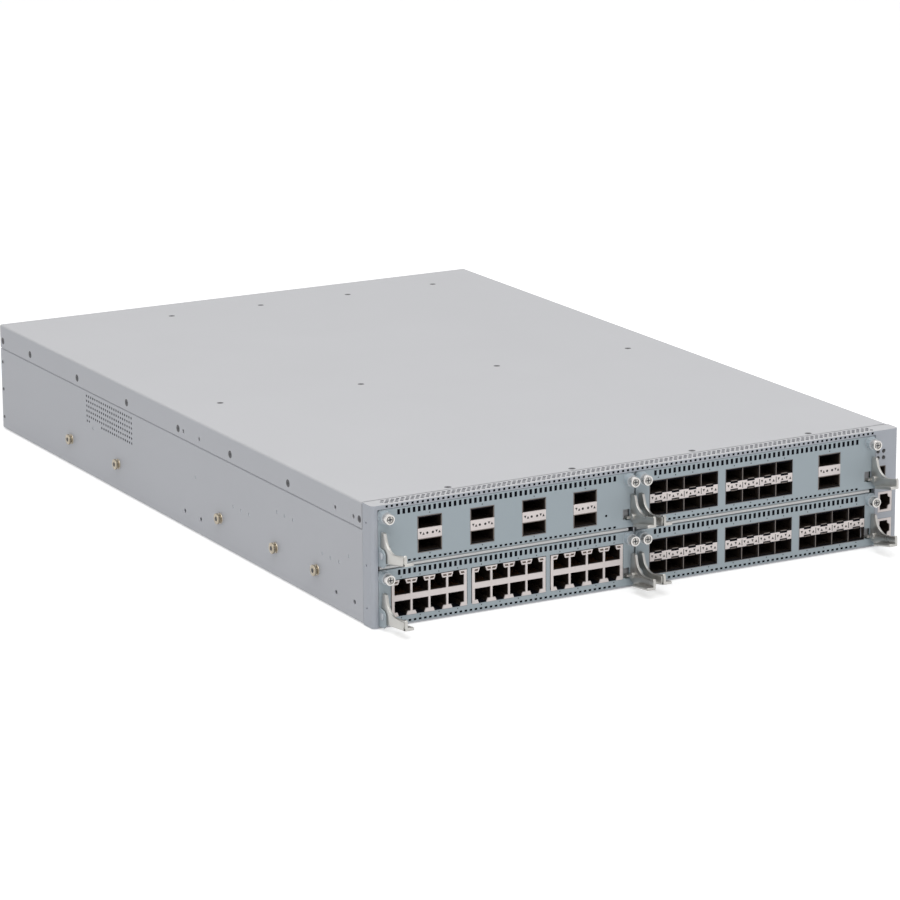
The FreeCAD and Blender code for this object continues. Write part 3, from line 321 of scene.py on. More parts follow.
def drawn_group():
    """Rolled or plated metal: streaks along one direction, smudges and tiny pits."""
    tree, given, result = new_group(
        "Drawn metal", (("Color", "Color", WHITE), ("Roughness", "Float", 0.35),
                        ("Stretch", "Vector", (1.0, 1.0, 1.0)), ("Wear", "Float", 0.1)),
        SURFACE_OUTPUTS)
    place = add(tree, "ShaderNodeTexCoord").outputs["Object"]
    along = add(tree, "ShaderNodeVectorMath", {"operation": "MULTIPLY"},
                {0: place, 1: given.outputs["Stretch"]}).outputs[0]
    streaks = add(tree, "ShaderNodeTexNoise", Vector=along, Scale=60.0, Detail=3.0)
    smudge = add(tree, "ShaderNodeTexNoise", Vector=place, Scale=70.0, Detail=3.0)
    both = maths(tree, "SUBTRACT", maths(tree, "ADD", streaks.outputs[0], smudge.outputs[0]), 1.0)
    worn = maths(tree, "MULTIPLY", both, given.outputs["Wear"])
    return surface_results(tree, given, result, maths(tree, "MULTIPLY", worn, 2.0),
                           maths(tree, "MULTIPLY", worn, 1.5), streaks.outputs[0])


def port_shade_group():
    """Mask of the painted shade inside a port: 0 at its mouth and 1 inside it, by the depth behind the
    front face.
    """
    tree, given, result = new_group(
        "Port depth", (("Face", "Float", 0.0), ("Fade", "Float", 0.002)), (("Mask", "Float"),))
    place = add(tree, "ShaderNodeTexCoord").outputs["Object"]
    depth = add(tree, "ShaderNodeSeparateXYZ", Vector=place).outputs["Y"]
    start = maths(tree, "SUBTRACT", depth, given.outputs["Face"])
    share = maths(tree, "DIVIDE", start, given.outputs["Fade"])
    clamped = add(tree, "ShaderNodeClamp", Value=share).outputs[0]
    tree.links.new(clamped, result.inputs["Mask"])
    return tree


GROUPS = {}


def group(name):
    """Shared node group, made when it is first asked for."""
    if name not in GROUPS:
        GROUPS[name] = {"coat": coat_group, "drawn": drawn_group, "mouth": port_shade_group}[name]()
    return GROUPS[name]


ROLLED = (1.0, 0.06, 1.0)
EVEN = (1.0, 1.0, 1.0)

# full name, setting with its colour, roughness, metallic, bump, further values of its surface
FINISHES = {
    "cover": ("Cover paint", "cover", 0.52, 0.0, 0.12, {"Grain": 1400.0, "Mottle": 0.012}),
    "tray": ("Side paint", "side", 0.52, 0.0, 0.12, {"Grain": 1400.0, "Mottle": 0.014}),
    "bezel": ("Bezel paint", "bezel", 0.5, 0.0, 0.12, {"Grain": 1500.0, "Mottle": 0.014}),
    "face": ("Faceplate paint", "face", 0.48, 0.0, 0.12, {"Grain": 1500.0, "Mottle": 0.014}),
    "zinc": ("Zinc sheet", "zinc", 0.4, 0.7, 0.08, {"Stretch": ROLLED, "Wear": 0.1}),
    "hem": ("Shelf sheet", "hem", 0.42, 0.25, 0.05, {"Stretch": ROLLED, "Wear": 0.05}),
    "nickel": ("Nickel plate", "nickel", 0.26, 0.9, 0.04, {"Stretch": EVEN, "Wear": 0.06}),
    "lever": ("Tumbled steel", "lever", 0.36, 0.85, 0.12, {"Stretch": (1.0, 0.12, 0.6), "Wear": 0.22}),
    "ferrule": ("Ferrule plate", "ferrule", 0.42, 0.6, 0.05, {"Stretch": (1, 0.2, 1), "Wear": 0.08}),
    "screw": ("Dark screw", "screw", 0.45, 0.7, 0.05, {"Stretch": EVEN, "Wear": 0.2}),
    "yellow zinc": ("Yellow zinc", "stud", 0.3, 0.85, 0.05, {"Stretch": EVEN, "Wear": 0.25}),
    # a fade is the depth, in millimetres, over which painted shade darkens the inside of a port
    "cage": ("Cage steel", "cage", 0.4, 0.7, 0.05, {"fade": 1.2, "Stretch": EVEN, "Wear": 0.08}),
    "jack": ("Jack plastic", "jack", 0.38, 0.0, 0.04, {"fade": 0.8, "Grain": 700.0, "Mottle": 0.01}),
    "band": ("Light band plastic", "jack", 0.36, 0.0, 0.04, {"Grain": 700.0, "Mottle": 0.01}),
    "mark": ("Dark mark", "mark", 0.5, 0.0, 0.02, {"Grain": 900.0, "Mottle": 0.05}),
    # painted shade behind holes, on hole walls and in gaps; also the printed triangles on the faceplates
    "gasket": ("Foam gasket", "gasket", 0.9, 0.0, 0.1, {"Grain": 900.0, "Mottle": 0.1}),
    "lip_hole_shade": ("Edges of the lip's holes", "lip_hole_shade", 0.7, 0.0, 0.05, {"Grain": 900.0, "Mottle": 0.05}),
    "window": ("Indicator window", "window", 0.35, 0.0, 0.02, {"Grain": 500.0, "Mottle": 0.05}),
    "gold": ("Gold contacts", "gold", 0.3, 0.95, 0.03, {"Stretch": EVEN, "Wear": 0.08}),
    "board": ("Solder mask", "board", 0.3, 0.0, 0.2, {"Grain": 350.0, "Mottle": 0.12}),
    "sink": ("Extruded aluminium", "zinc", 0.35, 0.9, 0.15, {"Stretch": (1.0, 0.03, 1.0), "Wear": 0.12}),
    "lens": ("Lamp lens", "lens", 0.15, 0.0, 0.02, {"Grain": 300.0, "Mottle": 0.02}),
    "black": ("Black moulding", "black", 0.5, 0.0, 0.15, {"Grain": 800.0, "Mottle": 0.08}),
}
SHEENS = {"board": ("Coat Weight", 0.4), "lens": ("Coat Weight", 0.15),
          "gasket": ("Specular IOR Level", 0.05)}
MATERIALS = {}


def material(name):
    """Material of the switch by name, made from the settings when it is first asked for."""
    if name not in MATERIALS:
        MATERIALS[name] = make_material(name, bpy.context.scene.switch_paint)
    return MATERIALS[name]


def make_material(name, paint):
    """One of the finishes; where it has a fade, painted shade darkens it behind a port's mouth."""
    full_name, setting, roughness, metallic, bump, values = FINISHES[name]
    values = dict(values)
    fade = values.pop("fade", None)
    made = bpy.data.materials.new(full_name)
    made.use_nodes = True
    tree = made.node_tree
    shader = tree.nodes["Principled BSDF"]
    effect = group("drawn" if "Wear" in values else "coat")
    surface = add(tree, "ShaderNodeGroup", {"node_tree": effect}, Roughness=roughness,
                  Color=linear(getattr(paint, setting)), **values)
    colour_out = surface.outputs["Color"]
    shader.inputs["Metallic"].default_value = metallic
    # Painted shade: blend towards the hollow colour, and away from metal, by the depth inside the port.
    if fade:
        shade_mask = add(tree, "ShaderNodeGroup", {"node_tree": group("mouth")}, Fade=fade * MM,
                   Face=(FRONT + 0.4) * MM).outputs["Mask"]
        colour_out = add(tree, "ShaderNodeMix", {"data_type": "RGBA"},
                         {0: shade_mask, 6: colour_out, 7: linear(paint.hollow)}).outputs[2]
        if metallic:
            face_metal = maths(tree, "SUBTRACT", 1.0, shade_mask)
            tree.links.new(maths(tree, "MULTIPLY", face_metal, metallic), shader.inputs["Metallic"])
    tree.links.new(colour_out, shader.inputs["Base Color"])
    tree.links.new(surface.outputs["Roughness"], shader.inputs["Roughness"])
    height = add(tree, "ShaderNodeBump", Height=surface.outputs["Height"], Strength=bump, Distance=0.0002)
    tree.links.new(height.outputs["Normal"], shader.inputs["Normal"])
    if name in SHEENS:
        socket, value = SHEENS[name]
        shader.inputs[socket].default_value = value
    return made


# ------------------------------------------------------------------ settings

def length(name, description, value):
    """Size in metres, given in millimetres."""
    return bpy.props.FloatProperty(name=name, description=description, default=value * MM, min=0.0,
                                   unit="LENGTH", precision=4)


def colour(name, description, value):
    """Colour as it is seen."""
    return bpy.props.FloatVectorProperty(name=name, description=description, default=value, size=3,
                                         min=0.0, max=1.0, subtype="COLOR_GAMMA")


class SwitchPaint(bpy.types.PropertyGroup):
    """Colours of the finishes"""
    cover: colour("Cover", "Top cover", (0.776, 0.778, 0.790))
    # Painted shade: a darker, bluer copy of the cover paint for the side walls.
    side: colour("Side", "Side walls", (0.752, 0.760, 0.782))
    # Painted shade: a darker, bluer copy of the cover paint for the front of the frame.
    bezel: colour("Bezel", "Front frame", (0.708, 0.725, 0.757))
    face: colour("Faceplate", "Module faceplates", (0.667, 0.713, 0.739))
    zinc: colour("Zinc", "Plated sheet inside and at the rear", (0.76, 0.77, 0.79))
    hem: colour("Hem", "Front edge of the shelf", (0.80, 0.80, 0.80))
    nickel: colour("Nickel", "Captive screws", (0.84, 0.83, 0.82))
    ferrule: colour("Ferrule", "Collars of the captive screws", (0.70, 0.72, 0.74))
    lever: colour("Lever", "Ejector levers", (0.74, 0.735, 0.72))
    screw: colour("Cover screws", "Countersunk screws", (0.32, 0.32, 0.335))
    stud: colour("Studs", "Rail studs", (0.68, 0.64, 0.57))
    cage: colour("Cage", "Front edges of the port cages", (0.47, 0.44, 0.42))
    jack: colour("Jack", "Jack housings and light bands", (0.93, 0.895, 0.885))
    # Painted shade deep inside the ports.
    hollow: colour("Hollow", "Inside of the ports", (0.17, 0.14, 0.12))
    # Painted shade: dark sheets and hole walls where only shade falls; the faceplates' printed triangles
    # share this colour.
    gasket: colour("Gasket", "Dark foam behind the perforations", (0.05, 0.055, 0.085))
    # Painted shade on the walls of the holes in the top lip.
    lip_hole_shade: colour("Net", "Edges of the holes in the top lip", (0.36, 0.365, 0.40))
    window: colour("Window", "Indicator windows over the jacks", (0.33, 0.26, 0.21))
    # Also painted shade: the dark crosses on the cover screws and the dark hexagons on the studs stand for
    # their recesses.
    mark: colour("Mark", "Indicator windows and marks", (0.13, 0.12, 0.12))
    gold: colour("Contacts", "Jack contacts", (0.72, 0.50, 0.30))
    board: colour("Board", "Circuit boards", (0.10, 0.33, 0.20))
    black: colour("Black", "Fans, latches and connectors", (0.13, 0.13, 0.14))
    lens: colour("Lens", "Status lights", (0.06, 0.06, 0.07))


class SwitchSheet(bpy.types.PropertyGroup):
    """Sizes of the perforations and fasteners of the sheet metal"""
    pitch: length("Pitch", "Pitch of the perforations", 4.05)
    band_hole: length("Band hole", "Side of the square holes in the top band", 1.8)
    lip_hole: length("Lip hole", "Width of the holes in the top lip", 2.7)
    grille_hole: length("Grille hole", "Radius of the grille's holes", 1.15)
    screw_head: length("Screw head", "Radius of the large countersunk screws", 2.9)
    small_head: length("Small screw head", "Radius of the screws on the top", 2.6)
    foot_hole: length("Foot hole", "Width of the holes along a faceplate's foot", 2.1)
    vent: length("Vent", "Width of the tall vents along a faceplate's head", 2.1)


class SwitchPorts(bpy.types.PropertyGroup):
    """Sizes of the light bands and the indicators"""
    proud: length("Proud", "Light bands in front of the faceplates", 0.35)
    block_height: length("Block height", "Blocks astride the small cages' separators", 6.5)
    block_width: length("Block width", "Width of those blocks", 8.0)
    waist: length("Waist", "Height of the band between the blocks", 4.1)
    mark: length("Mark", "Size of an indicator arrow", 1.9)
    window: length("Window", "Width of a jack's indicator window", 3.0)


# ------------------------------------------------------------------ chassis

TOP_SCREWS = ((20.0, -149.1, 100.8), (323.0, -180.0, 120.9), (617.5, -83.2, 82.7))
SIDE_SCREWS = (129.0, 224.0, 314.0, 408.0, 503.0, 598.0, 655.0)
FIRST_SIDE_SCREW, FIRST_SCREW_SHARE = 18.6, 0.9
SIDE_SCREW_HEIGHT = 75.0
STANDOFF_HOLES = ((147.4, 49.3), (134.9, 49.3), (121.4, 49.3), (75.7, 36.1), (63.3, 36.1),
                  (50.0, 36.1), (220.0, 36.2), (206.7, 36.2), (193.7, 36.2), (35.0, 44.0),
                  (284.7, 43.7), (473.7, 40.2))
SECOND_EAR = ((276.6, 74.9), (304.4, 74.9), (276.6, 12.9), (304.4, 12.9))
REAR_RIVETS = (57.0, 34.0, 10.3)
FRONT_RIVETS = (74.7, 44.0, 13.0)
GRILLE_START, GRILLE_ROWS, GRILLE_COLUMNS = 400.0, 6, 22
GRILLE_TOP = 64.3
# Depths of the painted-shade sheets behind the perforations.
SHADE_SHEET = (0.35, 0.6)
BAND_HOLES, BAND_START, BAND_ROW = 101, -208.2, 86.85
LIP_ROWS, LIP_START, LIP_STEP = 3, 4.6, 2.9
GAP_WIDTH = 0.9


def top_screw_places():
    """Centres of the screws on the top, in X and Y."""
    return [(x + i * pitch, FRONT + y) for y, x, pitch in TOP_SCREWS for i in range(4)]


def grille_places(pitch):
    """Centres of the grille's holes on the left side, in Y and Z; the last row is interrupted."""
    places = []
    for row in range(GRILLE_ROWS):
        for column in range(GRILLE_COLUMNS):
            gap = row == GRILLE_ROWS - 1 and 15 <= column < GRILLE_COLUMNS - 2
            if not gap:
                places.append((FRONT + GRILLE_START + column * pitch, GRILLE_TOP - row * pitch))
    return places


def countersunk(form, axis, face, outward, a, b, radius):
    """Screw head just under a surface, with a thin dark cross on it as painted shade of its recess."""
    low, high = sorted((face - outward * 0.15, face - outward * 0.75))
    narrow, wide = (radius * 0.62, radius) if outward > 0 else (radius, radius * 0.62)
    form.rod(axis, low, high, a, b, narrow, wide, sides=20)
    level = sorted((face - outward * 0.2, face - outward * 0.13))
    arm = radius * 0.45
    # Painted shade: a dark cross stands for the recess.
    for da, db in ((arm, arm * 0.3), (arm * 0.3, arm)):
        spans = {"x": ((level[0], level[1]), about(a, da), about(b, db)),
                 "z": (about(a, da), about(b, db), (level[0], level[1]))}[axis]
        form.block(*spans, index=1)


def sink_cut(form, axis, face, outward, a, b, radius):
    """Cone that opens a countersink."""
    ends = sorted((face + outward * 0.05, face - outward * 0.9))
    narrow, wide = (radius * 0.62, radius * 1.1) if outward > 0 else (radius * 1.1, radius * 0.62)
    form.rod(axis, ends[0], ends[1], a, b, narrow, wide, sides=20)


class SWITCH_OT_cover(bpy.types.Operator):
    """Top cover with countersinks, and its screws"""
    bl_idname = "switch.cover"
    bl_label = "Cover and screws"

    def execute(self, context):
        sheet = context.scene.switch_sheet
        large, small = sheet.screw_head / MM, sheet.small_head / MM
        cutter, screws = Form(), Form()
        places = [("z", TOP, 1, x, y, small) for x, y in top_screw_places()]
        heads = [(y, large) for y in SIDE_SCREWS] + [(FIRST_SIDE_SCREW, large * FIRST_SCREW_SHARE)]
        for side in SIDES:
            places += [("x", side * SIDE, side, FRONT + y, SIDE_SCREW_HEIGHT, head) for y, head in heads]
        for place in places:
            sink_cut(cutter, *place)
            countersunk(screws, *place)
        for side in SIDES:
            for y, z in SECOND_EAR[:2]:
                cutter.rod("x", *about(side * SIDE, 1.5), FRONT + y, z, 1.65, sides=16)
        cutter.block((-SIDE - 1, SIDE + 1), (COVER_FRONT - 1, COVER_FRONT + GAP_WIDTH), (TOP - 30, TOP + 1))
        cover = copied("top_cover")
        cover.cut(cutter)
        # Painted shade: the cover's side faces take the darker side paint.
        repaint(cover, 1, lambda middle, normal: abs(normal.x) > 0.9)
        cover.piece("cover", "chassis", "zinc_steel", ["cover", "tray"], ["top_cover"], flat=True)
        screws.piece("cover_screws", "chassis", "zinc_steel", ["screw", "mark"])
        return {"FINISHED"}


class SWITCH_OT_tray(bpy.types.Operator):
    """Tray with its grille, small holes and rivets"""
    bl_idname = "switch.tray"
    bl_label = "Tray"

    def execute(self, context):
        sheet = context.scene.switch_sheet
        cutter, rivets = Form(), Form()
        grille = grille_places(sheet.pitch / MM)
        for y, z in grille:
            cutter.rod("x", -SIDE - 0.5, -SIDE + 1.5, y, z, sheet.grille_hole / MM, sides=8)
        for side in SIDES:
            wall = about(side * SIDE, 1.5)
            for y, z in STANDOFF_HOLES:
                cutter.rod("x", *wall, FRONT + y, z, 1.3, sides=12)
                plug = sorted((side * (SIDE - 0.7), side * (SIDE - 0.25)))
                rivets.rod("x", *plug, FRONT + y, z, 1.2, sides=12, index=1)
            for y, z in SECOND_EAR[2:]:
                cutter.rod("x", *wall, FRONT + y, z, 1.65, sides=16)
            for z in REAR_RIVETS:
                low, high = sorted((side * (SIDE - 0.2), side * (SIDE + 0.35)))
                ends = (1.6, 1.1) if side > 0 else (1.1, 1.6)
                rivets.rod("x", low, high, REAR - 3.5, z, *ends, sides=16)
        # Painted shade: a dark sheet behind the grille's holes.
        shade_sheet = Form()
        shade_sheet.block((-SIDE + SHADE_SHEET[0], -SIDE + SHADE_SHEET[1]), (grille[0][0] - 2.0, FRONT + 489.0),
                     (41.5, 66.5))
        shade_sheet.piece("grille_screen", "chassis", "zinc_steel", ["gasket"])
        tray = copied("chassis_tray")
        tray.cut(cutter)
        tray.piece("tray", "chassis", "zinc_steel", ["tray"], ["chassis_tray"], flat=True)
        rivets.piece("rear_rivets", "chassis", "zinc_steel", ["screw", "ferrule"])
        return {"FINISHED"}


class SWITCH_OT_front_frame(bpy.types.Operator):
    """Front frame with its two kinds of perforation and its rivet holes"""
    bl_idname = "switch.front_frame"
    bl_label = "Front frame"

    def execute(self, context):
        sheet = context.scene.switch_sheet
        pitch, half, wide = sheet.pitch / MM, sheet.band_hole / MM / 2, sheet.lip_hole / MM / 2
        cutter = Form()
        # Painted shade: the square holes' walls take the dark index 1 and the lip holes' walls the mid-grey
        # index 3.
        for i in range(BAND_HOLES):
            x = BAND_START + i * pitch
            cutter.block(about(x, half), deep(-1, 2.4), (BAND_ROW - half, BAND_ROW + half * 0.8), index=1)
            for row in range(LIP_ROWS):
                shift = pitch / 2 * (row % 2 == 0)
                y = FRONT + LIP_START + row * LIP_STEP
                cutter.rod("z", TOP - 2, TOP + 1, x + shift, y, wide, sides=8, index=3)
        for side in SIDES:
            for z in FRONT_RIVETS:
                cutter.rod("x", *about(side * SIDE, 1.5), FRONT + 8.6, z, 0.9, sides=10)
        # Painted shade: a dark sheet behind the band's square holes and a dark strip in the gap behind the
        # cover's front edge; a plate in cover paint lies under the lip's holes.
        shade_sheets_and_floor = Form()
        left, right = BAND_START - 1.3, BAND_START + BAND_HOLES * pitch
        shade_sheets_and_floor.block((left, right - 3.35), deep(*SHADE_SHEET), (85.6, 87.9))
        shade_sheets_and_floor.block((left, right - 1.35), deep(2.5, 12.8), (TOP - 0.75, TOP - 0.5), index=1)
        shade_sheets_and_floor.block((-SIDE + 1, SIDE - 1), (COVER_FRONT - 0.15, COVER_FRONT + GAP_WIDTH - 0.05),
                      (TOP - 0.8, TOP - 0.5))
        shade_sheets_and_floor.piece("lip_screens", "chassis", "bezel_paint", ["gasket", "cover"])
        shape = copied("front_frame")
        shape.cut(cutter)
        # Painted light: the frame's top faces take the lighter cover paint; its other faces keep the shaded
        # bezel paint.
        for face in shape.bm.faces:
            if face.normal.z > 0.9 and face.material_index == 0:
                face.material_index = 2
        shape.piece("front_frame_skin", "chassis", "bezel_paint",
                    ["bezel", "gasket", "cover", "lip_hole_shade"], ["front_frame"], flat=True)
        return {"FINISHED"}


class SWITCH_OT_studs(bpy.types.Operator):
    """Turned shoulder studs for the slide rails"""
    bl_idname = "switch.studs"
    bl_label = "Rail studs"

    def execute(self, context):
        form = Form()
        height = (STUDS[0][2] + STUDS[1][2]) / 2
        for y in (85.0, 151.0, 243.0, 427.0, 518.0):
            form.rod("x", SIDE - 0.2, SIDE + 0.5, FRONT + y, height, 4.2, 3.9)
            form.rod("x", SIDE + 0.4, SIDE + 2.1, FRONT + y, height, 2.6)
            form.rod("x", SIDE + 2.0, SIDE + 3.5, FRONT + y, height, 4.2, rounding=0.35)
            # Painted shade: a dark hexagon stands for the socket in the stud's end.
            form.rod("x", SIDE + 3.45, SIDE + 3.55, FRONT + y, height, 1.9, sides=6, index=1)
        form.mirrored()
        form.piece("shoulder_studs", "chassis", "stud_zinc", ["yellow zinc", "mark"], ["rail_studs"])
        return {"FINISHED"}


class SWITCH_OT_column(bpy.types.Operator):
    """Control column: lamps, service jacks with contacts, and the USB socket"""
    bl_idname = "switch.column"
    bl_label = "Control column"

    def execute(self, context):
        low, high = limits("status_lights")
        radius = 1.45
        lamps = Form()
        for x in (low[0] + radius, high[0] - radius):
            for z in (low[2] + radius, high[2] - radius):
                lamps.rod("y", *deep(-0.05, 1.4), x, z, radius, sides=20)
                lamps.rod("y", *deep(-0.45, -0.05), x, z, radius * 0.55, radius, sides=20)
        lamps.piece("lamp_lenses", "chassis", "lens_plastic", ["lens"], ["status_lights"])
        for node in ("console_jack", "management_jack"):
            low, high = limits(node)
            contacts = Form()
            spring = [(low[0] + 1.7, FRONT + 4.0), (low[0] + 4.2, FRONT + 13.5),
                      (low[0] + 3.8, FRONT + 13.8), (low[0] + 1.65, FRONT + 4.6)]
            for i in range(8):
                z = (low[2] + high[2]) / 2 + (i - 3.5) * CONTACT_PITCH
                contacts.prism("z", *about(z, 0.2), spring)
            contacts.piece(node + "_contacts", "chassis", "bare_steel", ["gold"])
            dress(node, "jack")
        dress("usb_port", "cage")
        dress("control_board", "board")
        return {"FINISHED"}


# ------------------------------------------------------------------ modules

VENTS = 44
VENT_ROW, FOOT_ROW = (35.15, 38.95), (0.55, 2.05)
CLAW_WINDOW = (94.0, 99.5)
CLAW_HEIGHT = (5.8, 13.4)
LARGE_BAND = (15.3, 22.6)
SMALL_BAND = 18.4


class Module:
    """Places on one module, from its carrier and its cages."""

    def __init__(self, number):
        self.number = number
        self.name = "module_%d" % number
        low, high = limits(self.name + "_carrier")
        self.middle = (low[0] + high[0]) / 2
        self.half = (high[0] - low[0]) / 2 - 0.5
        self.floor = low[2]
        self.top = high[2]
        self.pivot_y = FRONT - 4.5
        self.pivot_z = self.floor + 8.7
        self.screw_x = self.half - 4.4
        self.screw_z = self.top - 4.9

    def piece(self, form, part, slot, finishes, replaced=None):
        """Finish a form as a piece of the module; in place of a CAD node it keeps its facets."""
        nodes = ["%s_%s" % (self.name, replaced)] if replaced else []
        form.piece("%s_%s" % (self.name, part), self.name, slot, finishes, nodes, flat=bool(nodes))

    def levels(self, pair, margin=0.0):
        """Lower and upper limit over the module's floor, a margin wider."""
        return (self.floor + pair[0] - margin, self.floor + pair[1] + margin)

    def columns(self, count, pitch):
        """Even places about the middle of the faceplate."""
        return [self.middle + (i - (count - 1) / 2) * pitch for i in range(count)]


def port_blocks(number):
    """Boxes of the separate port blocks of a module, left to right, in millimetres."""
    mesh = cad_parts["module_%d_cages" % number].data
    bm = bmesh.new()
    bm.from_mesh(mesh)
    bmesh.ops.remove_doubles(bm, verts=bm.verts, dist=1e-6)
    blocks = []
    left = set(bm.verts)
    while left:
        found = {left.pop()}
        front = list(found)
        while front:
            vert = front.pop()
            for edge in vert.link_edges:
                other = edge.other_vert(vert)
                if other not in found:
                    found.add(other)
                    front.append(other)
        left -= found
        spans = [[v.co[axis] / MM for v in found] for axis in range(3)]
        blocks.append([(min(span), max(span)) for span in spans])
    bm.free()
    return sorted(blocks)


def faceplate(module, columns, sheet):
    """Carrier with its vents, its foot holes and the windows of the levers' claws."""
    cutter = Form()
    through = deep(-1, 2.2)
    half, vent = sheet.foot_hole / MM / 2, sheet.vent / MM / 2
    # Painted shade: the walls of the vents and foot holes take the dark index 1.
    for x in columns:
        cutter.block(about(x, half), through, module.levels(FOOT_ROW), index=1)
        cutter.block(about(x, vent), through, module.levels(VENT_ROW), index=1)
    for side in SIDES:
        window = sorted(module.middle + side * x for x in CLAW_WINDOW)
        cutter.block(window, through, module.levels(CLAW_HEIGHT))
    plate = copied(module.name + "_carrier")
    plate.cut(cutter)
    if module.number == 3:
        for (x0, x1), _, (z0, z1) in port_blocks(module.number):
            gap = Form()
            # Painted shade on the walls of the gap round each jack block.
            gap.block((x0 - 0.7, x1 + 0.35), through, (z0 + 1.0, z1 + 0.5), index=1)
            plate.cut(gap)
    module.piece(plate, "faceplate", "face_paint", ["face", "gasket"], "carrier")


def collars(module):
    """Collars of the captive screws and heads of the levers' rivets."""
    form = Form()
    for side in SIDES:
        x = module.middle + side * module.screw_x
        form.rod("y", *deep(-0.5, 0.02), x, module.screw_z, 4.9, sides=40, rounding=0.15)
        form.rod("y", FRONT - 5.0, FRONT, x, module.screw_z, 4.3, sides=40, rounding=0.3)
        rivet = module.middle + side * (module.half + 0.25)
        form.rod("x", *about(rivet, 0.4), module.pivot_y, module.pivot_z, 2.8, sides=28, rounding=0.25)
    module.piece(form, "collars", "bare_steel", ["ferrule"])


def marks(module, columns):
    """Painted shade: dark sheets behind the holes; painted light: lighter plates in the claws' pockets; and
    the printed triangles that point at ports.
    """
    form = Form()
    row = (columns[0] - 1.5, columns[-1] + 1.5)
    shade_sheet = deep(*SHADE_SHEET)
    for side in SIDES:
        # Painted light: a plate in the lighter cover paint fills each claw pocket, against its shade.
        pocket = sorted(module.middle + side * x for x in (93.8, 100.2))
        form.block(pocket, deep(3.3, 3.8), module.levels(CLAW_HEIGHT, 0.4), index=1)
    form.block(row, shade_sheet, module.levels((35.0, 39.0)))
    form.block(row, shade_sheet, module.levels(FOOT_ROW, 0.15))
    for (x0, x1), _, _ in port_blocks(module.number):
        count = 1 if x1 - x0 < 30.0 else 4
        for i in range(count):
            x = x0 + (i + 0.5) * (x1 - x0) / count
            for z, lean in ((module.floor + 33.6, 1), (module.floor + 3.9, -1)):
                triangle = [(x - 0.55, z - 0.5 * lean), (x + 0.55, z - 0.5 * lean), (x, z + 0.5 * lean)]
                form.prism("y", *deep(-0.06, 0.02), triangle)
    if module.number == 1:
        form.rod("y", *deep(-0.1, 0.02), module.middle + 80.05, module.floor + 10.8, 0.9, sides=16)
    module.piece(form, "marks", "face_paint", ["gasket", "cover"])


class SWITCH_OT_faceplates(bpy.types.Operator):
    """Module carriers with the foot holes, the collars and the port marks"""
    bl_idname = "switch.faceplates"
    bl_label = "Faceplates"

    def execute(self, context):
        sheet = context.scene.switch_sheet
        for number in MODULES:
            module = Module(number)
            columns = module.columns(VENTS, sheet.pitch / MM)
            faceplate(module, columns, sheet)
            collars(module)
            marks(module, columns)
        return {"FINISHED"}


def outside(blocks, middle):
    """Whether a face's middle lies on a side, the top, the bottom or the back of a port block."""
    for x, y, z in blocks:
        inside = all(span[0] - 0.01 < value < span[1] + 0.01 for span, value in zip((x, y, z), middle))
        if inside:
            walls = (middle.x - x[0], x[1] - middle.x, y[1] - middle.y, middle.z - z[0], z[1] - middle.z)
            return min(walls) < 0.02
    return False


def arrow(form, x, z, size, up, depth):
    """Small triangular indicator window on a light band."""
    lean = size / 2 if up else -size / 2
    triangle = [(x - size / 2, z - lean), (x + size / 2, z - lean), (x, z + lean)]
    form.prism("y", depth - 0.05, depth + 0.1, triangle, index=1)


def large_band(form, x0, x1, z0, z1, module, ports):
    """Band between two large ports: two pairs of arrows and two round lamps."""
    face = FRONT - ports.proud / MM
    # Painted shade: dark strips just inside the cage's top and bottom edges.
    for low, high in ((z0 + 0.45, z0 + 1.25), (z1 - 1.25, z1 - 0.45)):
        form.block((x0 + 0.45, x1 - 0.45), deep(-0.04, 0.3), (low, high), index=3)
    low, high = module.levels(LARGE_BAND)
    form.block((x0, x1), (face, FRONT + 1.0), (low, high), rounding=0.15)
    middle, z = (x0 + x1) / 2, (low + high) / 2
    size = ports.mark / MM
    for side in SIDES:
        form.rod("y", face - 0.05, face + 0.1, middle + side * 2.2, z, 0.9, sides=16, index=1)
        arrow(form, middle + side * 6.3 - 1.15, z + 0.35, size, False, face)
        arrow(form, middle + side * 6.3 + 1.15, z - 0.1, size, True, face)


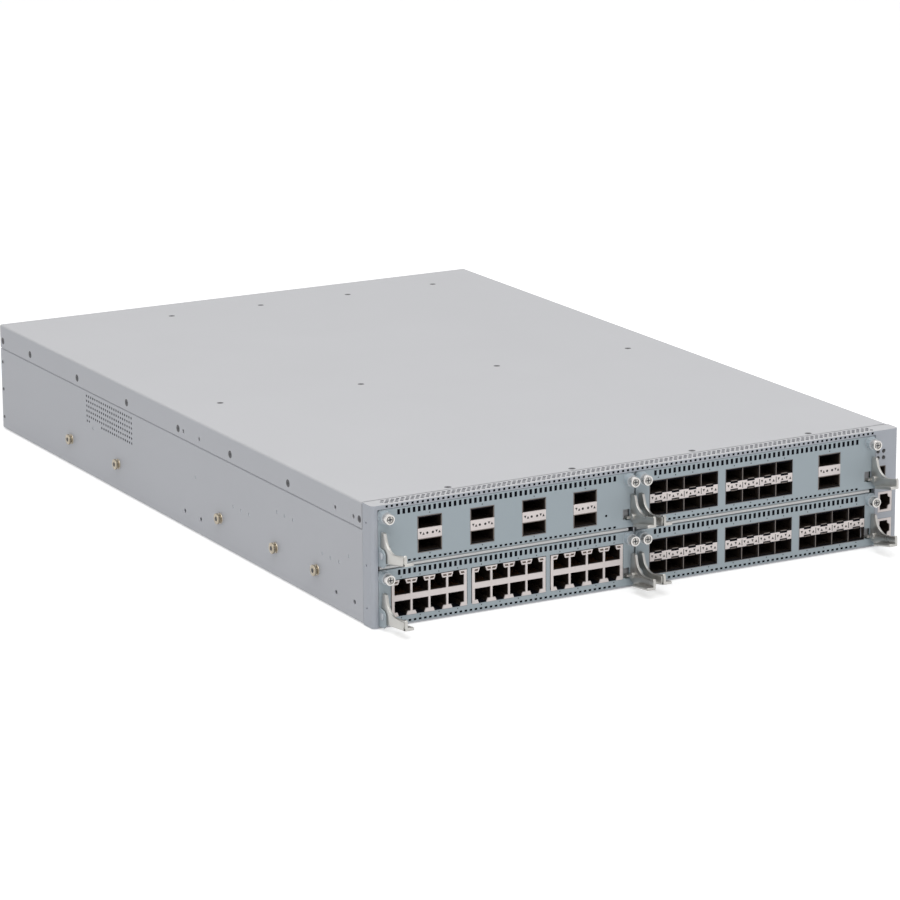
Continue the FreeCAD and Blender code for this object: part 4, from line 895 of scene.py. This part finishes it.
def small_band(form, x0, x1, z0, z1, module, ports):
    """Band between two rows of small ports: blocks astride the separators, waists and tabs."""
    face = FRONT - ports.proud / MM
    pitch = (x1 - x0) / 4
    z = module.floor + SMALL_BAND
    tall, waist, wide = ports.block_height / MM / 2, ports.waist / MM / 2, ports.block_width / MM / 2
    size = ports.mark / MM
    # Painted shade: a dark strip behind the band and dark strips along the cage's top and bottom edges.
    form.block((x0 + 0.3, x1 - 0.3), deep(-0.04, 0.5), about(z, 3.9), index=3)
    for low, high in ((z0 + 0.25, z0 + 1.25), (z1 - 1.25, z1 - 0.25)):
        form.block((x0 + 0.25, x1 - 0.25), deep(-0.04, 0.3), (low, high), index=3)
    for i in range(5):
        x = x0 + i * pitch
        left, right = max(x - wide, x0 + 0.2), min(x + wide, x1 - 0.2)
        form.block((left, right), (face, FRONT + 1.0), about(z, tall), rounding=0.15)
        # Painted shade down each separator's front.
        form.block((max(x - 0.75, x0 + 0.25), min(x + 0.75, x1 - 0.25)), deep(-0.05, 0.3),
                   (z0 + 0.3, z1 - 0.3), index=3)
        if 0 < i < 4:
            form.block(about(x, 0.3), (FRONT - 0.12, FRONT), (z0 + 0.4, z1 - 0.4), index=2)
            form.block(about(x, 0.25), (face - 0.04, face + 0.1), about(z, 2.2), index=1)
        if i > 0:
            arrow(form, x - wide * 0.55, z - 0.3, size, True, face)
        if i < 4:
            arrow(form, x + wide * 0.55, z + 0.3, size, False, face)
            centre = x + pitch / 2
            form.block((centre - pitch / 2 + wide - 0.3, centre + pitch / 2 - wide + 0.3),
                       (face + 0.1, FRONT + 1.0), about(z, waist), rounding=0.1)
            arrow(form, centre - 1.9, z - 0.2, size, True, face + 0.1)
            arrow(form, centre + 1.9, z + 0.2, size, False, face + 0.1)
            for edge in (z + waist + 1.9, z - waist - 1.2):
                form.block(about(centre, 2.6), deep(-0.15, 0.3), about(edge, 0.35), index=2, rounding=0.1)


def jack_mouths(cutter, x0, x1, z0, z1):
    """Openings of a bank of jacks: wide below their shoulders, narrower up to the keyway."""
    middle = (x0 + x1) / 2
    for i in range(4):
        x = middle + (i - 1.5) * JACK_PITCH
        for edge, lean, shoulder, near, far in ((z1, 1, -3.3, 3.4, 2.3), (z0, -1, -2.8, 4.2, 3.1)):
            outline = [(-6.35, -11.0), (6.35, -11.0), (6.35, shoulder), (near, shoulder), (far, 0.5),
                       (-far, 0.5), (-near, shoulder), (-6.35, shoulder)]
            cutter.prism("y", *deep(-1, 20.0), [(x + a, edge + lean * b) for a, b in outline], index=1)


def jack_face(form, x0, x1, z0, z1, ports):
    """Blocks between the keyways of a bank of jacks, with indicator windows over the upper row."""
    wide = ports.window / MM / 2
    middle = (x0 + x1) / 2
    for i in range(5):
        x = middle + (i - 2) * JACK_PITCH
        left, right = max(-7.1, x0 - x), min(7.1, x1 - x)
        for edge, lean, shoulder, near, far in ((z1, 1, -3.3, 3.7, 4.8), (z0, -1, -2.8, 2.9, 4.0)):
            outline = [(max(left, -near), shoulder), (min(right, near), shoulder),
                       (min(right, far), 0.0), (max(left, -far), 0.0)]
            form.prism("y", *deep(-0.1, 0.8), [(x + a, edge + lean * b) for a, b in outline])
        for side in SIDES:
            if (i, side) not in ((0, -1), (4, 1)):
                centre, slope, reach = x + side * 2.0, side * 0.25, wide / 2 + 0.6
                outline = [(centre - slope - reach, z1 - 2.3), (centre - slope + reach, z1 - 2.3),
                           (centre + slope + reach, z1 - 1.0), (centre + slope - reach, z1 - 1.0)]
                form.prism("y", FRONT - 0.16, FRONT, outline, index=1)
    # Painted shade: a dark strip covers the bottom of the bank's openings.
    form.block((x0 + 0.6, x1 - 0.6), deep(0.8, 20.0), (z0 - 0.3, z0 + 0.25), index=2)


def jack_contacts(form, x0, x1, module):
    """Eight sprung contacts in every jack of a bank."""
    middle = (x0 + x1) / 2
    for column in range(4):
        centre = middle + (column - 1.5) * JACK_PITCH
        for i in range(8):
            x = centre + (i - 3.5) * CONTACT_PITCH
            for z, lean in ((module.floor + 20.6, 1), (module.floor + 16.2, -1)):
                spring = [(FRONT + 4.0, z), (FRONT + 4.6, z - 0.05 * lean),
                          (FRONT + 15.0, z + 2.4 * lean), (FRONT + 14.6, z + 2.8 * lean)]
                form.prism("x", *about(x, 0.2), spring)


class SWITCH_OT_ports(bpy.types.Operator):
    """Port cages and jacks: light bands, indicator windows and contacts"""
    bl_idname = "switch.ports"
    bl_label = "Ports"

    def execute(self, context):
        ports = context.scene.switch_ports
        for number in MODULES:
            module = Module(number)
            blocks = port_blocks(number)
            bands, contacts, mouths = Form(), Form(), Form()
            for (x0, x1), _, (z0, z1) in blocks:
                if number == 3:
                    jack_mouths(mouths, x0, x1, z0, z1)
                    jack_face(bands, x0, x1, z0, z1, ports)
                    jack_contacts(contacts, x0, x1, module)
                elif x1 - x0 < 30.0:
                    large_band(bands, x0, x1, z0, z1, module, ports)
                else:
                    small_band(bands, x0, x1, z0, z1, module, ports)
            if number == 3:
                housings = copied(module.name + "_cages")
                housings.cut(mouths)
                module.piece(housings, "housings", "jack_plastic", ["jack", "jack"], "cages")
                module.piece(contacts, "contacts", "bare_steel", ["gold"])
                module.piece(bands, "windows", "jack_plastic", ["band", "window", "gasket"])
            else:
                cages = copied(module.name + "_cages")
                repaint(cages, 1, lambda middle, normal: outside(blocks, middle))
                module.piece(cages, "cage_shells", "cage_steel", ["cage", "zinc"], "cages")
                module.piece(bands, "light_bands", "jack_plastic", ["band", "mark", "cage", "gasket"])
            board_piece(module.name + "_board_parts", module.name + "_board", module.name)
        return {"FINISHED"}


def lever_form(module, side):
    """Ejector lever: upright arm, hollow curve, handle with a folded flange, and the claw."""
    outer = module.middle + side * (module.half - 1.5)

    def across(near, far):
        return sorted((outer - side * near, outer - side * far))

    def beside(pairs):
        return [(module.pivot_y + y, module.pivot_z + z) for y, z in pairs]

    hollow = [(-2.6 - 13.6 * (1 - math.cos(t)), 14.6 - 10.8 * math.sin(t))
              for t in [math.radians(a) for a in range(8, 88, 8)]]
    arm = [(3.6, 15.0), (2.6, 16.2), (0.4, 16.4), (-1.6, 15.8)] + hollow
    arm += [(-28.0, 5.2), (-28.0, -0.6), (-9.0, -4.0), (-3.5, -5.3), (1.1, -4.1), (3.4, -2.5), (3.9, 0.0)]
    form = Form()
    x0, x1 = across(0.0, 2.0)
    form.prism("x", x0, x1, beside(arm), rounding=0.3)
    handle = [(3.6, 0.3), (-16.0, 3.8), (-27.0, 6.0), (-28.6, 6.9), (-29.6, 5.6), (-29.8, -0.9),
              (-9.0, -4.6), (-3.5, -5.4), (1.1, -4.1), (3.4, -2.4)]
    x0, x1 = across(0.9, 2.9)
    form.prism("x", x0, x1, beside(handle), rounding=0.3)
    x0, x1 = across(0.9, 7.9)
    flange = [(-9.0, -4.8), (-9.0, -2.8), (-28.9, 1.1), (-29.8, 0.6), (-29.8, -1.0), (-28.9, -1.1)]
    form.prism("x", x0, x1, beside(flange), rounding=0.35)
    x0, x1 = across(2.3, 5.2)
    form.prism("x", x0, x1, beside([(2.6, -2.1), (6.9, -2.1), (6.9, -0.6), (2.6, -0.3)]), rounding=0.15)
    boss = outer + side * 0.05
    form.rod("x", min(boss, outer - side * 3.6), max(boss, outer - side * 3.6), module.pivot_y,
             module.pivot_z, 2.4, sides=24, rounding=0.2)
    return form


class SWITCH_OT_levers(bpy.types.Operator):
    """Ejector levers and captive screws of all modules"""
    bl_idname = "switch.levers"
    bl_label = "Levers and captive screws"

    def execute(self, context):
        for number in MODULES:
            module = Module(number)
            for side, word in zip(SIDES, ("left", "right")):
                node = "%s_lever_%s" % (module.name, word)
                form = lever_form(module, side)
                if number == 3:
                    form.turn("x", math.radians(5.0), (0.0, module.pivot_y, module.pivot_z))
                form.piece(node + "_steel", node, "bare_steel", ["lever"], [node])
                node = "%s_screw_%s" % (module.name, word)
                screw = screw_form(module, side)
                screw.piece(node + "_head", node, "bare_steel", ["nickel", "lever", "screw"], [node])
        return {"FINISHED"}


def screw_form(module, side):
    """Captive screw: knurled head with a dished cross recess, and a shank."""
    x, z = module.middle + side * module.screw_x, module.screw_z
    form = Form()
    form.rod("y", *deep(-9.7, -5.1), x, z, 3.75, sides=48, rounding=0.35)
    form.rod("y", *deep(-5.2, 9.0), x, z, 1.5, sides=16)
    tool = Form()
    tool.rod("y", *deep(-11.0, -8.6), x, z, 3.0, 2.5, sides=32)
    form.cut(tool)
    form.rod("y", *deep(-9.5, -8.4), x, z, 1.9, 2.3, sides=24, index=1)
    # Painted shade: a dark cross stands for the recess in the head.
    for wide, tall in ((1.7, 0.45), (0.45, 1.7)):
        form.block(about(x, wide), deep(-9.56, -9.3), about(z, tall), index=2)
    return form


# ------------------------------------------------------------------ rear and inside

class SWITCH_OT_rear(bpy.types.Operator):
    """Fan modules, power supplies, rear panel and the boards inside"""
    bl_idname = "switch.rear"
    bl_label = "Rear and inside"

    def execute(self, context):
        for node in ("rear_panel", "psu_bay", "slot_divider"):
            dress(node, "zinc")
        dress("slot_shelf", "hem")
        for node in ("midplane_board", "main_board"):
            dress(node, "board")
        dress("midplane_sockets", "black")
        dress("heat_sinks", "sink")
        for i in (1, 2, 3):
            for part in ("housing", "rotor"):
                dress("fan_%d_%s" % (i, part), "black")
        for side in ("lower", "upper"):
            dress("psu_%s_case" % side, "zinc")
            for part in ("latch", "inlet", "rotor"):
                dress("psu_%s_%s" % (side, part), "black")
        return {"FINISHED"}


# ------------------------------------------------------------------ stage

LENS = 159.66
SENSOR = 36.0
CAMERA_PLACE = (-1.4459, -2.6755, 0.8136)
AZIMUTH, PITCH, ROLL = -28.768, 14.523, -0.367


def camera_matrix():
    """Place and turn of the camera."""
    a, e, r = (math.radians(v) for v in (AZIMUTH, PITCH, ROLL))
    back = Vector((math.sin(a) * math.cos(e), -math.cos(a) * math.cos(e), math.sin(e)))
    right = Vector((math.cos(a), math.sin(a), 0.0))
    up = back.cross(right)
    turned_right = right * math.cos(r) + up * math.sin(r)
    turned_up = up * math.cos(r) - right * math.sin(r)
    rows = Matrix((turned_right, turned_up, back)).transposed()
    return Matrix.Translation(CAMERA_PLACE) @ rows.to_4x4()


def seen(tree):
    """1 where the camera, a reflection or a clear surface looks, and 0 for the light on things."""
    rays = add(tree, "ShaderNodeLightPath").outputs
    most = maths(tree, "MAXIMUM", rays["Is Camera Ray"], rays["Is Glossy Ray"])
    return maths(tree, "MAXIMUM", most, rays["Is Transmission Ray"])


def backdrop_material(name, colour_seen, glow):
    """Pale surface that is lifted to white where the camera or a reflection sees it."""
    made = bpy.data.materials.new(name)
    made.use_nodes = True
    tree = made.node_tree
    shader = tree.nodes["Principled BSDF"]
    shader.inputs["Base Color"].default_value = colour_seen
    shader.inputs["Roughness"].default_value = 0.9
    shader.inputs["Emission Color"].default_value = (1.0, 1.0, 1.0, 1.0)
    tree.links.new(maths(tree, "MULTIPLY", seen(tree), glow), shader.inputs["Emission Strength"])
    return made


def area_light(name, place, target, size, power):
    """Soft square lamp aimed at a point."""
    lamp = bpy.data.lights.new(name, "AREA")
    lamp.size = size
    lamp.energy = power
    item = linked(name, lamp)
    item.location = place
    item.rotation_euler = (Vector(target) - Vector(place)).to_track_quat("-Z", "Y").to_euler()


class SWITCH_OT_stage(bpy.types.Operator):
    """Floor, soft light and camera"""
    bl_idname = "switch.stage"
    bl_label = "Stage"

    def execute(self, context):
        scene = context.scene
        scene.view_settings.view_transform = "Standard"
        bm = bmesh.new()
        bmesh.ops.create_grid(bm, x_segments=1, y_segments=1, size=8.0)
        floor = loose_object("floor", bm)
        floor.location.z = -0.0006
        floor.data.materials.append(backdrop_material("Floor", (0.8, 0.8, 0.8, 1.0), 0.5))
        world = bpy.data.worlds.new("Studio")
        scene.world = world
        world.use_nodes = True
        tree = world.node_tree
        back = tree.nodes["Background"]
        level = add(tree, "ShaderNodeMapRange", Value=seen(tree), From_Min=0.0, From_Max=1.0,
                    To_Min=0.46, To_Max=1.0)
        tree.links.new(level.outputs["Result"], back.inputs["Strength"])
        back.inputs["Color"].default_value = (1.0, 1.0, 1.0, 1.0)
        area_light("key", (-0.8, -1.6, 2.6), (0.0, 0.0, 0.0), 2.2, 33.0)
        area_light("top", (0.3, 0.3, 2.8), (0.0, 0.0, 0.0), 2.6, 20.0)
        data = bpy.data.cameras.new("view")
        data.lens = LENS
        data.sensor_width = SENSOR
        data.clip_end = 50.0
        camera = linked("view", data)
        camera.matrix_world = camera_matrix()
        scene.camera = camera
        return {"FINISHED"}


# ------------------------------------------------------------------ panel and registration

OPERATORS = (SWITCH_OT_stage, SWITCH_OT_cover, SWITCH_OT_tray, SWITCH_OT_front_frame,
             SWITCH_OT_studs, SWITCH_OT_column, SWITCH_OT_faceplates, SWITCH_OT_ports,
             SWITCH_OT_levers, SWITCH_OT_rear)


class SWITCH_PT_panel(bpy.types.Panel):
    """Sidebar panel with the settings and one button for each group of pieces"""
    bl_idname = "SWITCH_PT_panel"
    bl_label = "Chassis switch"
    bl_space_type = "VIEW_3D"
    bl_region_type = "UI"
    bl_category = "Switch"

    def draw(self, context):
        for settings in (context.scene.switch_paint, context.scene.switch_sheet,
                         context.scene.switch_ports):
            box = self.layout.box()
            for name in settings.__annotations__:
                box.prop(settings, name)
        for operator in OPERATORS:
            self.layout.operator(operator.bl_idname)


SETTINGS = {"switch_paint": SwitchPaint, "switch_sheet": SwitchSheet, "switch_ports": SwitchPorts}
CLASSES = tuple(SETTINGS.values()) + OPERATORS + (SWITCH_PT_panel,)


def register():
    """Register the classes and their settings."""
    for item in CLASSES:
        bpy.utils.register_class(item)
    for name, kind in SETTINGS.items():
        setattr(bpy.types.Scene, name, bpy.props.PointerProperty(type=kind))


def unregister():
    """Remove the settings and the classes."""
    for name in SETTINGS:
        delattr(bpy.types.Scene, name)
    for item in reversed(CLASSES):
        bpy.utils.unregister_class(item)


def main():
    """Build every group of pieces."""
    register()
    for operator in OPERATORS:
        family, name = operator.bl_idname.split(".")
        getattr(getattr(bpy.ops, family), name)()
    bpy.context.view_layer.update()


if __name__ == "__main__":
    main()
